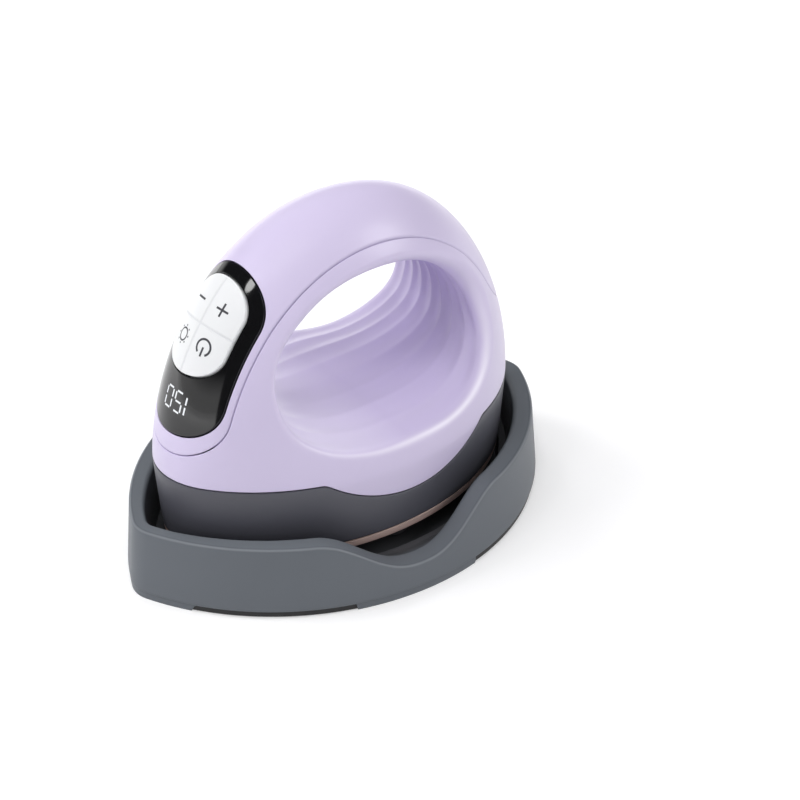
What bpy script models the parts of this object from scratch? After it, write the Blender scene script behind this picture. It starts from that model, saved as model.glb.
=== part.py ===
"""Mini handheld heat press resting in its stand.

Metres, +Z up. The origin is on the ground at the middle of the stand. +X points to the back of the
press, -X to its display end. The press is a dome on a lens-shaped plan with a ribbed finger hole
through it. It lifts straight up out of the stand, and its four keys press in along one axis.
"""

import math

import bmesh
import bpy
import numpy as np
from mathutils import Vector

MM = 0.001

# Driving sizes of the press body
BODY_HALF_LENGTH = 53.4 * MM
BODY_HALF_WIDTH = 33.8 * MM
BODY_TIP_RADIUS = 13.7 * MM
SKIRT_BOTTOM = 12.7 * MM
SHOULDER = 31.0 * MM
DOME_HEIGHT = 62.0 * MM
BODY_TOP = SHOULDER + DOME_HEIGHT
BODY_LEAN = 1.2 * MM
SKIRT_DRAFT = math.radians(4.0)
PLAN_ROUND_SHARE = 0.51
ROUND_AT_SHARE = 0.66
LENGTH_POWERS = (1.8, 2.2)
WIDTH_POWERS = (1.36, 2.06)

# The stand reaches past the body by a margin at each end and side
STAND_END_MARGIN = 11.6 * MM
STAND_SIDE_MARGIN = 11.7 * MM
STAND_HALF_LENGTH = BODY_HALF_LENGTH + STAND_END_MARGIN
STAND_HALF_WIDTH = BODY_HALF_WIDTH + STAND_SIDE_MARGIN
STAND_TIP_RADIUS = 8.5 * MM
STAND_RIM = 20.0 * MM
STAND_DRAFT = math.radians(5.0)

# Walls, clearances and cutting overrun
SHELL_WALL = 2.0 * MM
TUNNEL_WALL = 1.6 * MM
GAP = 0.3 * MM
SEAM_GAP = 0.3 * MM
OVERRUN = 10.0 * MM

# Line where the lilac housing meets the skirt, with a lobe that dips at each side
SPLIT_RISE = 1.0 * MM
SPLIT_Z = SHOULDER + SPLIT_RISE
LOBE_HALF_LENGTH = 25.4 * MM
LOBE_DEPTH = 9.0 * MM

# Finger hole, seen from the side: the arch over it, the sill under it and the wall at its ends
HOLE_X = 1.2 * MM
HOLE_RISE = 24.0 * MM
HOLE_END_WALL = 19.8 * MM
ARCH_HEIGHT = 13.5 * MM
SILL_HEIGHT = 5.3 * MM
HOLE_Z = SHOULDER + HOLE_RISE
HOLE_HALF_LENGTH = BODY_HALF_LENGTH - HOLE_END_WALL
HOLE_UP = BODY_TOP - ARCH_HEIGHT - HOLE_Z
HOLE_DOWN = HOLE_Z - SPLIT_Z - SILL_HEIGHT
HOLE_UP_POWER = 2.0
HOLE_DOWN_POWER = 2.6
HOLE_WAIST = 2.8 * MM
HOLE_LIP = 2.0 * MM
RIPPLE_COUNT = 8
RIPPLE_DEPTH = 0.5 * MM
RIPPLE_FLOOR_SHARE = 0.4

# Top cover strip over the arch, which stays clear of the finger hole's rims
COVER_TO_HOLE = 3.6 * MM
COVER_FRONT_RISE = 7.4 * MM
COVER_BACK_RISE = 18.0 * MM
COVER_FRONT_Z = SPLIT_Z + COVER_FRONT_RISE
COVER_BACK_Z = SPLIT_Z + COVER_BACK_RISE
COVER_END_DEPTH = 11.0 * MM
COVER_END_POWER = 2.3

# Control panel, tilted with the front of the dome: it runs up the slope from the cover's front
# end to the crown, with the display at its foot and the key pad above it
PANEL_FRONT_BORDER = 8.6 * MM
PANEL_CROWN_DROP = 9.0 * MM
PANEL_SIDE_BORDER = 1.5 * MM
PANEL_END_DEPTH = 12.3 * MM
PANEL_TILT_REACH = 8.7 * MM
PAD_PLACE_SHARE = 0.371
PAD_END_BORDER = 3.3 * MM
PAD_SIDE_BORDER = 3.1 * MM
PAD_END_DEPTH = 9.0 * MM
PANEL_FOOT_Z = COVER_FRONT_Z + PANEL_FRONT_BORDER
PANEL_HEAD_Z = BODY_TOP - PANEL_CROWN_DROP
PANEL_Z = PANEL_HEAD_Z - PAD_PLACE_SHARE * (PANEL_HEAD_Z - PANEL_FOOT_Z)
PAD_END_POWER = 2.1
KEY_PROUD = 0.4 * MM
KEY_DEPTH = 5.0 * MM
KEY_SPLIT = 0.5 * MM
KEY_TRAVEL = 0.5 * MM

# Control board behind the panel, with its switches, display and screws
CONTROL_UP_INSET = 5.5 * MM
CONTROL_DOWN_INSET = 7.0 * MM
CONTROL_SIDE_INSET = 1.2 * MM
CONTROL_END_DEPTH = 7.0 * MM
BOARD_THICKNESS = 1.4 * MM
KEY_STEM_LENGTH = 1.6 * MM
KEY_STEM_RADIUS = 1.5 * MM
SWITCH_HEIGHT = 1.3 * MM
SWITCH_SIZE = 5.0 * MM
DISPLAY_WIDTH = 10.0 * MM
DISPLAY_HEIGHT = 1.6 * MM
SMALL_SCREW_RADIUS = 1.0 * MM
SMALL_SCREW_LENGTH = 5.0 * MM
SMALL_HEAD_RADIUS = 2.0 * MM
SMALL_HEAD_HEIGHT = 0.8 * MM
PANEL_REACH = 15.0 * MM

# Heat stack, from the plate up to the deck of the skirt
PLATE_BOTTOM = 10.2 * MM
PLATE_INSET = 0.5 * MM
PLATE_CHAMFER = 0.5 * MM
PLATE_PAD_RISE = 1.6 * MM
PLATE_PAD_INSET = 6.0 * MM
PLATE_HOLE_DEPTH = 2.4 * MM
ELEMENT_DIAMETER = 4.0 * MM
ELEMENT_INSET = 16.5 * MM
ELEMENT_TIP = 5.0 * MM
ELEMENT_BEND = 3.0 * MM
ELEMENT_OPEN_DEGREES = 60.0
ELEMENT_STEPS = 11
ELEMENT_BEND_STEPS = 3
SENSOR_LENGTH = 8.0 * MM
SENSOR_WIDTH = 5.0 * MM
SENSOR_HEIGHT = 3.0 * MM
FUSE_LENGTH = 9.0 * MM
FUSE_RADIUS = 1.7 * MM
SHEET_THICKNESS = 1.4 * MM
SHIELD_THICKNESS = 0.8 * MM
STANDOFF_RADIUS = 3.0 * MM
STANDOFF_INSET = 10.2 * MM
STANDOFF_TURN_DEGREES = 60.0
DECK_THICKNESS = 3.0 * MM
SKIRT_WALL = 3.4 * MM
SKIRT_LIP = 2.0 * MM

# Power board, the parts on it, its wiring and the cord gland
BOARD_LIFT = 3.1 * MM
BOARD_INSET = 9.0 * MM
RELAY_SIZE = (15.0 * MM, 10.0 * MM, 5.6 * MM)
TERMINAL_SIZE = (8.0 * MM, 10.0 * MM, 4.6 * MM)
CAPACITOR_RADIUS = 3.0 * MM
CAPACITOR_HEIGHT = 5.4 * MM
BUZZER_RADIUS = 4.0 * MM
BUZZER_HEIGHT = 3.6 * MM
LOOM_DIAMETER = 4.0 * MM
GLAND_RADIUS = 3.1 * MM
GLAND_BORE_RADIUS = 2.0 * MM
GLAND_FLANGE_RADIUS = 4.0 * MM
GLAND_FLANGE = 1.2 * MM
GLAND_STEP = 1.0 * MM
GLAND_NOSE = 1.2 * MM

# Screws, bosses and posts
SCREW_RADIUS = 1.4 * MM
SCREW_LENGTH = 9.0 * MM
HEAD_RADIUS = 2.6 * MM
HEAD_HEIGHT = 1.5 * MM
BOSS_RADIUS = 3.5 * MM
POST_RADIUS = 2.3 * MM
SOCKET_WALL = 1.5 * MM
SOCKET_RISE = 4.0 * MM

# Inside and underside of the stand
RIM_WIDTH = 5.5 * MM
RIM_ROUND = 1.5 * MM
SHELF_Z = 8.0 * MM
SHELF_INSET = 8.0 * MM
PIT_INSET = 10.0 * MM
PIT_SLOPE = 1.0 * MM
PIT_FLOOR = 4.0 * MM
SCOOP_X = -6.5 * MM
SCOOP_HALF_LENGTH = 28.0 * MM
SCOOP_LIP = 0.7 * MM
SCOOP_POWER = 1.25
FOOT_HEIGHT = 1.8 * MM
FOOT_ROUND = 0.6 * MM
TIP_FOOT_HALF_WIDTH = 15.2 * MM
SIDE_FOOT_FRONT = -25.0 * MM
SIDE_FOOT_BACK = 11.0 * MM
BASE_INSET = 7.0 * MM
BASE_RECESS = 0.4 * MM
BASE_THICKNESS = 0.8 * MM
BASE_SCREW_LENGTH = 4.4 * MM
BASE_SCREW_CLEAR = 0.2 * MM
REST_RADIUS = 4.5 * MM
REST_ROUND = 0.5 * MM

# Point counts, and how far a ring's points are drawn to its long sides
SIDE_POINTS_SHARE = 0.3
RING_COUNT = 52
INNER_RING_COUNT = 28
DOME_ROWS = 12
INNER_ROWS = 6
HOLE_COUNT = 34
RIPPLE_ROWS = 3
PLAIN_ROWS = 8
PLATE_COUNT = 40
STAND_COUNT = 52
FOOT_EDGE_DEGREES = 0.5

# Each key: its name, its side of the panel up the slope, and its side across
KEYS = (("key_minus", 1, 1), ("key_plus", 1, -1), ("key_light", -1, 1), ("key_power", -1, -1))

# Places of inner pieces, as shares of the half length and half width of what carries them
BOARD_BOSS_SHARES = ((0.24, 0.42), (0.24, -0.42), (-0.24, 0.42), (-0.24, -0.42))
HOUSING_BOSS_SHARES = ((0.4, 0.0), (-0.4, 0.0))
CAPACITOR_SHARES = (0.24, 0.0)
BUZZER_SHARES = (-0.56, 0.16)
BASE_SCREW_SHARES = ((0.38, 0.42), (0.38, -0.42), (-0.38, 0.42), (-0.38, -0.42))
REST_SHARES = ((0.6, 0.0), (-0.6, 0.0), (0.0, 0.5), (0.0, -0.5))
RIM_ARC_SHARES = (0.0, 0.5, 1.0)
LIP_SHARES = (0.33, 0.67, 1.0)
LOOM_DROP_SHARES = (0.75, 0.5, 0.25, 0.0)
COVER_POST_SHARE = 0.36
KEY_PLACE_SHARE = 0.46
SENSOR_SHARE = -0.2
FUSE_SHARE = 0.06
RELAY_SHARE = -0.08
TERMINAL_SHARE = 0.6
LOOM_SHARE = -0.71


def clear_scene():
    for item in list(bpy.data.objects):
        bpy.data.objects.remove(item, do_unlink=True)


def paint(name, colour, roughness, metallic=0.0):
    material = bpy.data.materials.new(name)
    material.use_nodes = True
    shader = material.node_tree.nodes["Principled BSDF"]
    shader.inputs["Base Color"].default_value = (*colour, 1.0)
    shader.inputs["Roughness"].default_value = roughness
    shader.inputs["Metallic"].default_value = metallic
    return material


def solid(name, points, faces):
    """One closed mesh object, its faces pointing out."""
    mesh = bpy.data.meshes.new(name)
    mesh.from_pydata([tuple(point) for point in points], [], faces)
    work = bmesh.new()
    work.from_mesh(mesh)
    bmesh.ops.recalc_face_normals(work, faces=work.faces)
    work.to_mesh(mesh)
    work.free()
    item = bpy.data.objects.new(name, mesh)
    bpy.context.scene.collection.objects.link(item)
    return item


def loft(name, rings, apex=None):
    """A closed solid through rings of equal count, ended by flat caps or by one apex point."""
    count = len(rings[0])
    points = [point for ring in rings for point in ring]
    faces = [tuple(reversed(range(count)))]
    for row in range(len(rings) - 1):
        low = row * count
        for i in range(count):
            j = (i + 1) % count
            faces.append((low + i, low + j, low + count + j, low + count + i))
    last = (len(rings) - 1) * count
    if apex is None:
        faces.append(tuple(range(last, last + count)))
    else:
        points.append(apex)
        faces += [(last + i, last + (i + 1) % count, last + count) for i in range(count)]
    return solid(name, points, faces)


def combine(item, tool, operation="DIFFERENCE"):
    """Runs one Boolean on item, and removes the tool."""
    step = item.modifiers.new(operation.title(), "BOOLEAN")
    step.operation = operation
    step.solver = "EXACT"
    step.object = tool
    bpy.context.view_layer.update()
    graph = bpy.context.evaluated_depsgraph_get()
    result = bpy.data.meshes.new_from_object(item.evaluated_get(graph))
    old = item.data
    item.modifiers.clear()
    item.data = result
    bpy.data.meshes.remove(old)
    bpy.data.objects.remove(tool, do_unlink=True)
    return item


def prism(name, outline, origin, across, along, low, high):
    """An outline drawn in the plane of two directions, extruded along their normal."""
    normal = across.cross(along)
    rings = []
    for depth in (low, high):
        rings.append([origin + across * a + along * b + normal * depth for a, b in outline])
    return loft(name, rings)


def cylinder(name, centre, axis, radius, length, sides=12):
    """A round bar that starts at centre and runs along axis."""
    axis = Vector(axis).normalized()
    side = axis.orthogonal().normalized()
    turns = [math.tau * i / sides for i in range(sides)]
    outline = [(radius * math.cos(t), radius * math.sin(t)) for t in turns]
    return prism(name, outline, Vector(centre), side, axis.cross(side), 0.0, length)


def block(name, low, high):
    """A box between two corners."""
    outline = [(low[0], low[1]), (high[0], low[1]), (high[0], high[1]), (low[0], high[1])]
    return prism(name, outline, Vector((0.0, 0.0, 0.0)), Vector((1.0, 0.0, 0.0)),
                 Vector((0.0, 1.0, 0.0)), low[2], high[2])


def signed_power(value, power):
    return math.copysign(abs(value) ** power, value)


def plan_outline(half_length, half_width, tip_radius, roundness, angles):
    """Points of a lens with round tips, eased towards an ellipse by roundness.

    Each point is found by the direction that the outline faces there, so outlines of different
    sizes pair up point by point, and their blend stays convex.
    """
    arc_radius = ((half_length ** 2 - 2 * half_length * tip_radius + half_width ** 2)
                  / (2 * (half_width - tip_radius)))
    tip_turn = math.atan2(arc_radius - half_width, half_length - tip_radius)
    points = []
    for angle in angles:
        c, s = math.cos(angle), math.sin(angle)
        turn = math.atan2(abs(s), abs(c))
        if turn < tip_turn:
            lens_x = half_length - tip_radius + tip_radius * math.cos(turn)
            lens_y = tip_radius * math.sin(turn)
        else:
            lens_x = arc_radius * math.cos(turn)
            lens_y = half_width - arc_radius + arc_radius * math.sin(turn)
        reach = math.hypot(half_length * c, half_width * s)
        x = (1 - roundness) * math.copysign(lens_x, c) + roundness * half_length ** 2 * c / reach
        y = (1 - roundness) * math.copysign(lens_y, s) + roundness * half_width ** 2 * s / reach
        points.append((x, y))
    return points


def ring_angles(count):
    """Facing directions for one ring, closer together on the long sides than round the tips."""
    turns = [math.tau * (i + 0.5) / count for i in range(count)]
    return [turn + SIDE_POINTS_SHARE * math.sin(2 * turn) for turn in turns]


def body_section(z, inset):
    """Half length, half width, tip, roundness and centre of the body at height z."""
    if z < SHOULDER:
        shrink = inset + (SHOULDER - z) * math.tan(SKIRT_DRAFT)
        half_length = BODY_HALF_LENGTH - shrink
        half_width = BODY_HALF_WIDTH - shrink
        tip = BODY_TIP_RADIUS - shrink
        rise = 0.0
    else:
        rise = min((z - SHOULDER) / (BODY_TOP - inset - SHOULDER), 1.0)
        length_share = (1 - rise ** LENGTH_POWERS[0]) ** (1 / LENGTH_POWERS[1])
        width_share = (1 - rise ** WIDTH_POWERS[0]) ** (1 / WIDTH_POWERS[1])
        half_length = (BODY_HALF_LENGTH - inset) * length_share
        half_width = (BODY_HALF_WIDTH - inset) * width_share
        tip = (BODY_TIP_RADIUS - inset) * width_share
    roundness = PLAN_ROUND_SHARE + (1 - PLAN_ROUND_SHARE) * min(rise / ROUND_AT_SHARE, 1.0)
    centre = BODY_LEAN * (rise - (1 - PLAN_ROUND_SHARE) * (1 - rise))
    return half_length, half_width, tip, roundness, centre


def body_ring(z, inset, count=RING_COUNT):
    """The body's outline at height z, moved in by inset."""
    half_length, half_width, tip, roundness, centre = body_section(z, inset)
    outline = plan_outline(half_length, half_width, tip, roundness, ring_angles(count))
    return [(centre + x, y, z) for x, y in outline]


def body_front(z):
    """How far forward the body's surface lies at height z."""
    half_length, _, _, _, centre = body_section(z, 0.0)
    return centre - half_length


def body_dome(name, inset, bottom, count=RING_COUNT, rows=DOME_ROWS):
    """The whole body from bottom to its top, as one solid, moved in by inset."""
    top = BODY_TOP - inset
    rings = [body_ring(bottom, inset, count)]
    for row in range(rows):
        rise = math.sin(math.pi / 2 * row / rows)
        rings.append(body_ring(SHOULDER + (top - SHOULDER) * rise, inset, count))
    return loft(name, rings, (BODY_LEAN, 0.0, top))


def body_slab(name, heights, inset, count=INNER_RING_COUNT):
    """A level slice of the body between the given heights."""
    return loft(name, [body_ring(z, inset, count) for z in heights])


def body_half_width(x, z):
    """How far out the body's surface lies at a point of its side view."""
    ring = [point for point in body_ring(z, 0.0, 4 * RING_COUNT) if point[1] > 0.0]
    ring.sort()
    return float(np.interp(x, [point[0] for point in ring], [point[1] for point in ring]))


def hole_point(turn, grow):
    """The finger hole's outline in the side view, opened out by grow."""
    c, s = math.cos(turn), math.sin(turn)
    half_height = HOLE_UP if s > 0 else HOLE_DOWN
    power = HOLE_UP_POWER if s > 0 else HOLE_DOWN_POWER
    x = (HOLE_HALF_LENGTH + grow) * signed_power(c, 2 / power)
    z = (half_height + grow) * signed_power(s, 2 / power)
    return HOLE_X + x, HOLE_Z + z


def hole_rings(wall, rippled):
    """Rings of the finger hole from one side of the body to the other.

    The hole is drawn in towards its waist, carries ripples that follow its rim, and opens into a
    round lip where it meets the body.
    """
    steps = RIPPLE_COUNT * RIPPLE_ROWS if rippled else PLAIN_ROWS
    rows = [2 * i / steps - 1 for i in range(1, steps)]
    lip_turns = [math.pi / 2 * share for share in LIP_SHARES]
    turns = [math.tau * (i + 0.5) / HOLE_COUNT for i in range(HOLE_COUNT)]
    rims = [body_half_width(*hole_point(turn, 0.0)) for turn in turns]
    outer = BODY_HALF_WIDTH + OVERRUN

    def inner_ring(row):
        ring = []
        for turn, rim in zip(turns, rims):
            wave = 0.5 - 0.5 * math.cos(math.tau * RIPPLE_COUNT * (row + 1) / 2)
            fade = 1 - (1 - RIPPLE_FLOOR_SHARE) * max(0.0, -math.sin(turn))
            grow = wall - HOLE_WAIST * (1 - row ** 2)
            if rippled:
                grow += RIPPLE_DEPTH * wave * fade
            x, z = hole_point(turn, grow)
            ring.append((x, row * (rim - HOLE_LIP), z))
        return ring

    def lip_ring(side, lip_turn):
        ring = []
        for turn, rim in zip(turns, rims):
            grow = wall + HOLE_LIP * (1 - math.cos(lip_turn))
            x, z = hole_point(turn, grow)
            ring.append((x, side * (rim - HOLE_LIP * (1 - math.sin(lip_turn))), z))
        return ring

    def end_ring(side):
        ring = []
        for turn in turns:
            x, z = hole_point(turn, wall + HOLE_LIP)
            ring.append((x, side * outer, z))
        return ring

    middle = [inner_ring(row) for row in rows]
    if not rippled:
        return [end_ring(-1.0)] + middle + [end_ring(1.0)]
    near = [lip_ring(-1.0, turn) for turn in reversed(lip_turns)]
    far = [lip_ring(1.0, turn) for turn in lip_turns]
    return [end_ring(-1.0)] + near + middle + far + [end_ring(1.0)]


def split_outline(shift):
    """Side view of everything under the line between housing and skirt, raised by shift."""
    radius = (LOBE_HALF_LENGTH ** 2 + LOBE_DEPTH ** 2) / (2 * LOBE_DEPTH)
    half_turn = math.asin(LOBE_HALF_LENGTH / radius)
    reach = BODY_HALF_LENGTH + OVERRUN
    points = [(-reach, 0.0), (-reach, SPLIT_Z + shift)]
    centre_z = SPLIT_Z - LOBE_DEPTH + radius + shift
    steps = 14
    for i in range(steps + 1):
        turn = half_turn * (2 * i / steps - 1)
        points.append((radius * math.sin(turn), centre_z - radius * math.cos(turn)))
    points += [(reach, SPLIT_Z + shift), (reach, 0.0)]
    return points


def below_split(name, shift):
    """The room under the split line, as a cutter right across the body."""
    reach = BODY_HALF_WIDTH + OVERRUN
    outline = list(reversed(split_outline(shift)))
    return prism(name, outline, Vector((0.0, 0.0, 0.0)), Vector((1.0, 0.0, 0.0)),
                 Vector((0.0, 0.0, 1.0)), -reach, reach)


def cover_strip(name, margin):
    """The strip over the arch that the top cover fills, as a cutter, widened by margin."""
    half_width = cover_half_width() + margin
    reach = BODY_HALF_LENGTH + OVERRUN
    top = BODY_TOP + OVERRUN
    steps = 20

    def ring(x, bottom):
        depth = COVER_END_DEPTH + margin
        outline = [(x, half_width, top)]
        for i in range(steps + 1):
            turn = math.pi * i / steps
            y = half_width * signed_power(math.cos(turn), 2 / COVER_END_POWER)
            drop = depth * math.sin(turn) ** (2 / COVER_END_POWER)
            outline.append((x, y, bottom + COVER_END_DEPTH - drop))
        outline.append((x, -half_width, top))
        return outline

    front = COVER_FRONT_Z
    back = COVER_BACK_Z
    middle = HOLE_HALF_LENGTH / 2
    return loft(name, [ring(-reach, front), ring(-middle, front), ring(middle, back), ring(reach, back)])


def cover_half_width():
    """Half width of the cover: it keeps clear of the finger hole where the arch is thinnest."""
    return body_half_width(HOLE_X, HOLE_Z + HOLE_UP) - COVER_TO_HOLE


def panel_half_width():
    return cover_half_width() - PANEL_SIDE_BORDER


def pad_half_width():
    return panel_half_width() - PAD_SIDE_BORDER


def panel_tilt():
    """Lean of the dome's front line at the key pad, away from upright."""
    low = body_front(PANEL_Z - PANEL_TILT_REACH)
    high = body_front(PANEL_Z + PANEL_TILT_REACH)
    return math.atan2(high - low, 2 * PANEL_TILT_REACH)


def panel_up():
    return (PANEL_HEAD_Z - PANEL_Z) / math.cos(panel_tilt())


def panel_down():
    return (PANEL_Z - PANEL_FOOT_Z) / math.cos(panel_tilt())


def pad_half_length():
    return panel_up() - PAD_END_BORDER


def panel_frame():
    """Origin, up-the-slope, across and outward directions of the control panel.

    The origin is the middle of the key pad, on the front line of the dome.
    """
    tilt = panel_tilt()
    up = Vector((math.sin(tilt), 0.0, math.cos(tilt)))
    across = Vector((0.0, 1.0, 0.0))
    outward = Vector((-math.cos(tilt), 0.0, math.sin(tilt)))
    return Vector((body_front(PANEL_Z), 0.0, PANEL_Z)), up, across, outward


def panel_point(u, v, w):
    origin, up, across, outward = panel_frame()
    return origin + up * u + across * v + outward * w


def panel_prism(name, outline, low, high):
    """A prism square to the panel, from depth low to depth high along its outward direction."""
    rings = []
    for depth in (low, high):
        rings.append([tuple(panel_point(u, v, depth)) for u, v in outline])
    return loft(name, rings)


def capsule(down, up, half_width, end_depth, steps=20):
    """A long rounded outline, given by its lower and upper ends."""
    points = []
    for i in range(2 * steps):
        turn = math.pi * (i + 0.5) / steps
        c, s = math.cos(turn), math.sin(turn)
        u = end_depth * signed_power(s, 2 / PAD_END_POWER)
        v = half_width * signed_power(c, 2 / PAD_END_POWER)
        points.append((u + (up - end_depth if s > 0 else end_depth - down), v))
    return points


def smooth(item, angle=math.radians(32.0)):
    item.data.shade_smooth()
    item.data.set_sharp_from_angle(angle=angle)


def finish(item, name, material, bevel=0.0):
    item.name = name
    item.data.name = name
    item.data.materials.clear()
    item.data.materials.append(material)
    if bevel:
        edge = item.modifiers.new("Edge", "BEVEL")
        edge.width = bevel
        edge.segments = 1
        edge.angle_limit = math.radians(50.0)
    smooth(item)
    return item


def on_body(shares):
    """A place in plan, given as shares of the body's half length and half width."""
    return shares[0] * BODY_HALF_LENGTH, shares[1] * BODY_HALF_WIDTH


def base_level():
    """Roof of the recess under the stand, where the base plate lies."""
    return FOOT_HEIGHT + BASE_RECESS


def rest_top():
    return PLATE_BOTTOM - GAP


def plate_rim_top():
    return SKIRT_BOTTOM - GAP


def plate_pad_top():
    return plate_rim_top() + PLATE_PAD_RISE


def sheet_bottom():
    return plate_pad_top() + 2 * GAP + ELEMENT_DIAMETER


def shield_bottom():
    return sheet_bottom() + SHEET_THICKNESS + GAP


def deck_bottom():
    return shield_bottom() + SHIELD_THICKNESS + GAP


def deck_top():
    return deck_bottom() + DECK_THICKNESS


def board_bottom():
    return deck_top() + BOARD_LIFT


def board_top():
    return board_bottom() + BOARD_THICKNESS


def switch_top():
    """Depth of the key switches behind the panel: a pressed key stops just short of them."""
    return -KEY_DEPTH - KEY_STEM_LENGTH - KEY_TRAVEL - GAP


def control_board_top():
    return switch_top() - SWITCH_HEIGHT - GAP


def control_board_back():
    return control_board_top() - BOARD_THICKNESS


def drilled(item, places, low, high, radius):
    """Cuts an upright round hole through item at each place."""
    for x, y in places:
        combine(item, cylinder("Drill", (x, y, low), (0.0, 0.0, 1.0), radius, high - low))
    return item


def hollow_dome(name):
    """The whole lilac shell, closed at its foot by nothing: outer form less inner form."""
    shell = body_dome(name, 0.0, SKIRT_BOTTOM)
    inner = body_dome("Hollow", SHELL_WALL, SKIRT_BOTTOM - OVERRUN, INNER_RING_COUNT, INNER_ROWS)
    return combine(shell, inner)


def inner_core(name):
    """A form that ends inside the shell's wall, to trim whatever grows onto it."""
    return body_dome(name, SHELL_WALL / 2, SKIRT_BOTTOM, INNER_RING_COUNT, INNER_ROWS)


def build_main_housing(material):
    housing = hollow_dome("main_housing")
    combine(housing, cover_strip("Strip", SEAM_GAP / 2))
    tunnel = loft("Tunnel", hole_rings(TUNNEL_WALL, False))
    for shares in HOUSING_BOSS_SHARES:
        x, y = on_body(shares)
        foot = deck_top() + GAP
        boss = cylinder("Boss", (x, y, foot), (0.0, 0.0, 1.0), BOSS_RADIUS, HOLE_Z - HOLE_DOWN / 2 - foot)
        combine(tunnel, boss, "UNION")
    for u in control_post_places():
        start = panel_point(u, 0.0, control_board_back() - GAP)
        post = cylinder("Post", start, -panel_frame()[3], POST_RADIUS, HOLE_HALF_LENGTH / 2)
        combine(tunnel, post, "UNION")
    for x in cover_post_places():
        foot = HOLE_Z + HOLE_UP / 2
        height = HOLE_UP / 2 + SOCKET_RISE
        socket = cylinder("Socket", (x, 0.0, foot), (0.0, 0.0, 1.0), POST_RADIUS + SOCKET_WALL, height)
        combine(tunnel, socket, "UNION")
    combine(tunnel, inner_core("Core"), "INTERSECT")
    room = cover_strip("Room", SEAM_GAP / 2)
    combine(room, body_dome("Under", SHELL_WALL + GAP, SKIRT_BOTTOM, INNER_RING_COUNT, INNER_ROWS))
    combine(tunnel, room)
    combine(housing, tunnel, "UNION")
    for x in cover_post_places():
        bore = cylinder("Bore", (x, 0.0, tunnel_roof()), (0.0, 0.0, 1.0), POST_RADIUS + GAP, OVERRUN)
        combine(housing, bore)
    for u in control_post_places():
        start = panel_point(u, 0.0, control_board_back())
        bore = cylinder("Bore", start, -panel_frame()[3], SMALL_SCREW_RADIUS + GAP, SMALL_SCREW_LENGTH)
        combine(housing, bore)
    for shares in HOUSING_BOSS_SHARES:
        x, y = on_body(shares)
        bore = cylinder("Bore", (x, y, deck_top()), (0.0, 0.0, 1.0), SCREW_RADIUS + GAP, SCREW_LENGTH)
        combine(housing, bore)
    combine(housing, below_split("Below", SEAM_GAP / 2))
    combine(housing, loft("Hole", hole_rings(0.0, True)))
    return finish(housing, "main_housing", material)


def control_post_places():
    """Where the control board's two screws stand up the slope: between and below the switches."""
    row = key_centre(1, 1)[0]
    return 0.0, -(row + SWITCH_SIZE / 2 + SMALL_HEAD_RADIUS + GAP)


def tunnel_roof():
    return HOLE_Z + HOLE_UP - HOLE_WAIST + TUNNEL_WALL


def cover_post_places():
    reach = COVER_POST_SHARE * HOLE_HALF_LENGTH
    return HOLE_X - reach, HOLE_X + reach


def build_top_cover(material):
    cover = hollow_dome("top_cover")
    combine(cover, cover_strip("Strip", -SEAM_GAP / 2), "INTERSECT")
    for x in cover_post_places():
        foot = tunnel_roof() + GAP
        post = cylinder("Post", (x, 0.0, foot), (0.0, 0.0, 1.0), POST_RADIUS, BODY_TOP - foot)
        combine(post, inner_core("Core"), "INTERSECT")
        combine(cover, post, "UNION")
    combine(cover, panel_prism("Panel", panel_outline(SEAM_GAP / 2), -PANEL_REACH, PANEL_REACH))
    return finish(cover, "top_cover", material)


def panel_outline(grow):
    return capsule(panel_down() + grow, panel_up() + grow, panel_half_width() + grow,
                   PANEL_END_DEPTH + grow)


def pad_outline(grow):
    length = pad_half_length() + grow
    return capsule(length, length, pad_half_width() + grow, PAD_END_DEPTH + grow)


def build_panel_window(material):
    window = hollow_dome("panel_window")
    combine(window, panel_prism("Panel", panel_outline(-SEAM_GAP / 2), -PANEL_REACH, PANEL_REACH),
            "INTERSECT")
    combine(window, panel_prism("Pad", pad_outline(0.0), -PANEL_REACH, PANEL_REACH))
    return finish(window, "panel_window", material)


def key_centre(up_sign, side_sign):
    """Middle of one key, in the panel's own directions."""
    u = up_sign * pad_half_length() * KEY_PLACE_SHARE
    return u, side_sign * pad_half_width() * KEY_PLACE_SHARE


def build_key(name, up_sign, side_sign, material):
    """One quarter of the white pad, with the stem that meets its switch."""
    key = body_dome(name, -KEY_PROUD, SKIRT_BOTTOM)
    combine(key, panel_prism("Pad", pad_outline(-GAP), -KEY_DEPTH, PANEL_REACH), "INTERSECT")
    near = KEY_SPLIT / 2
    far = panel_down()
    quarter = [(near, near), (far, near), (far, far), (near, far)]
    outline = [(up_sign * u, side_sign * v) for u, v in quarter]
    combine(key, panel_prism("Quarter", outline, -PANEL_REACH, PANEL_REACH), "INTERSECT")
    u, v = key_centre(up_sign, side_sign)
    outward = panel_frame()[3]
    root = panel_point(u, v, -KEY_DEPTH / 2)
    stem = cylinder("Stem", root, -outward, KEY_STEM_RADIUS, KEY_DEPTH / 2 + KEY_STEM_LENGTH, 12)
    combine(key, stem, "UNION")
    finish(key, name, material)
    centre = panel_point(u, v, 0.0)
    for vertex in key.data.vertices:
        vertex.co -= centre
    key.location = centre
    return key


def panel_block(name, u_range, v_range, low, high):
    """A block square to the panel."""
    outline = [(u_range[0], v_range[0]), (u_range[1], v_range[0]),
               (u_range[1], v_range[1]), (u_range[0], v_range[1])]
    return panel_prism(name, outline, low, high)


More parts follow.
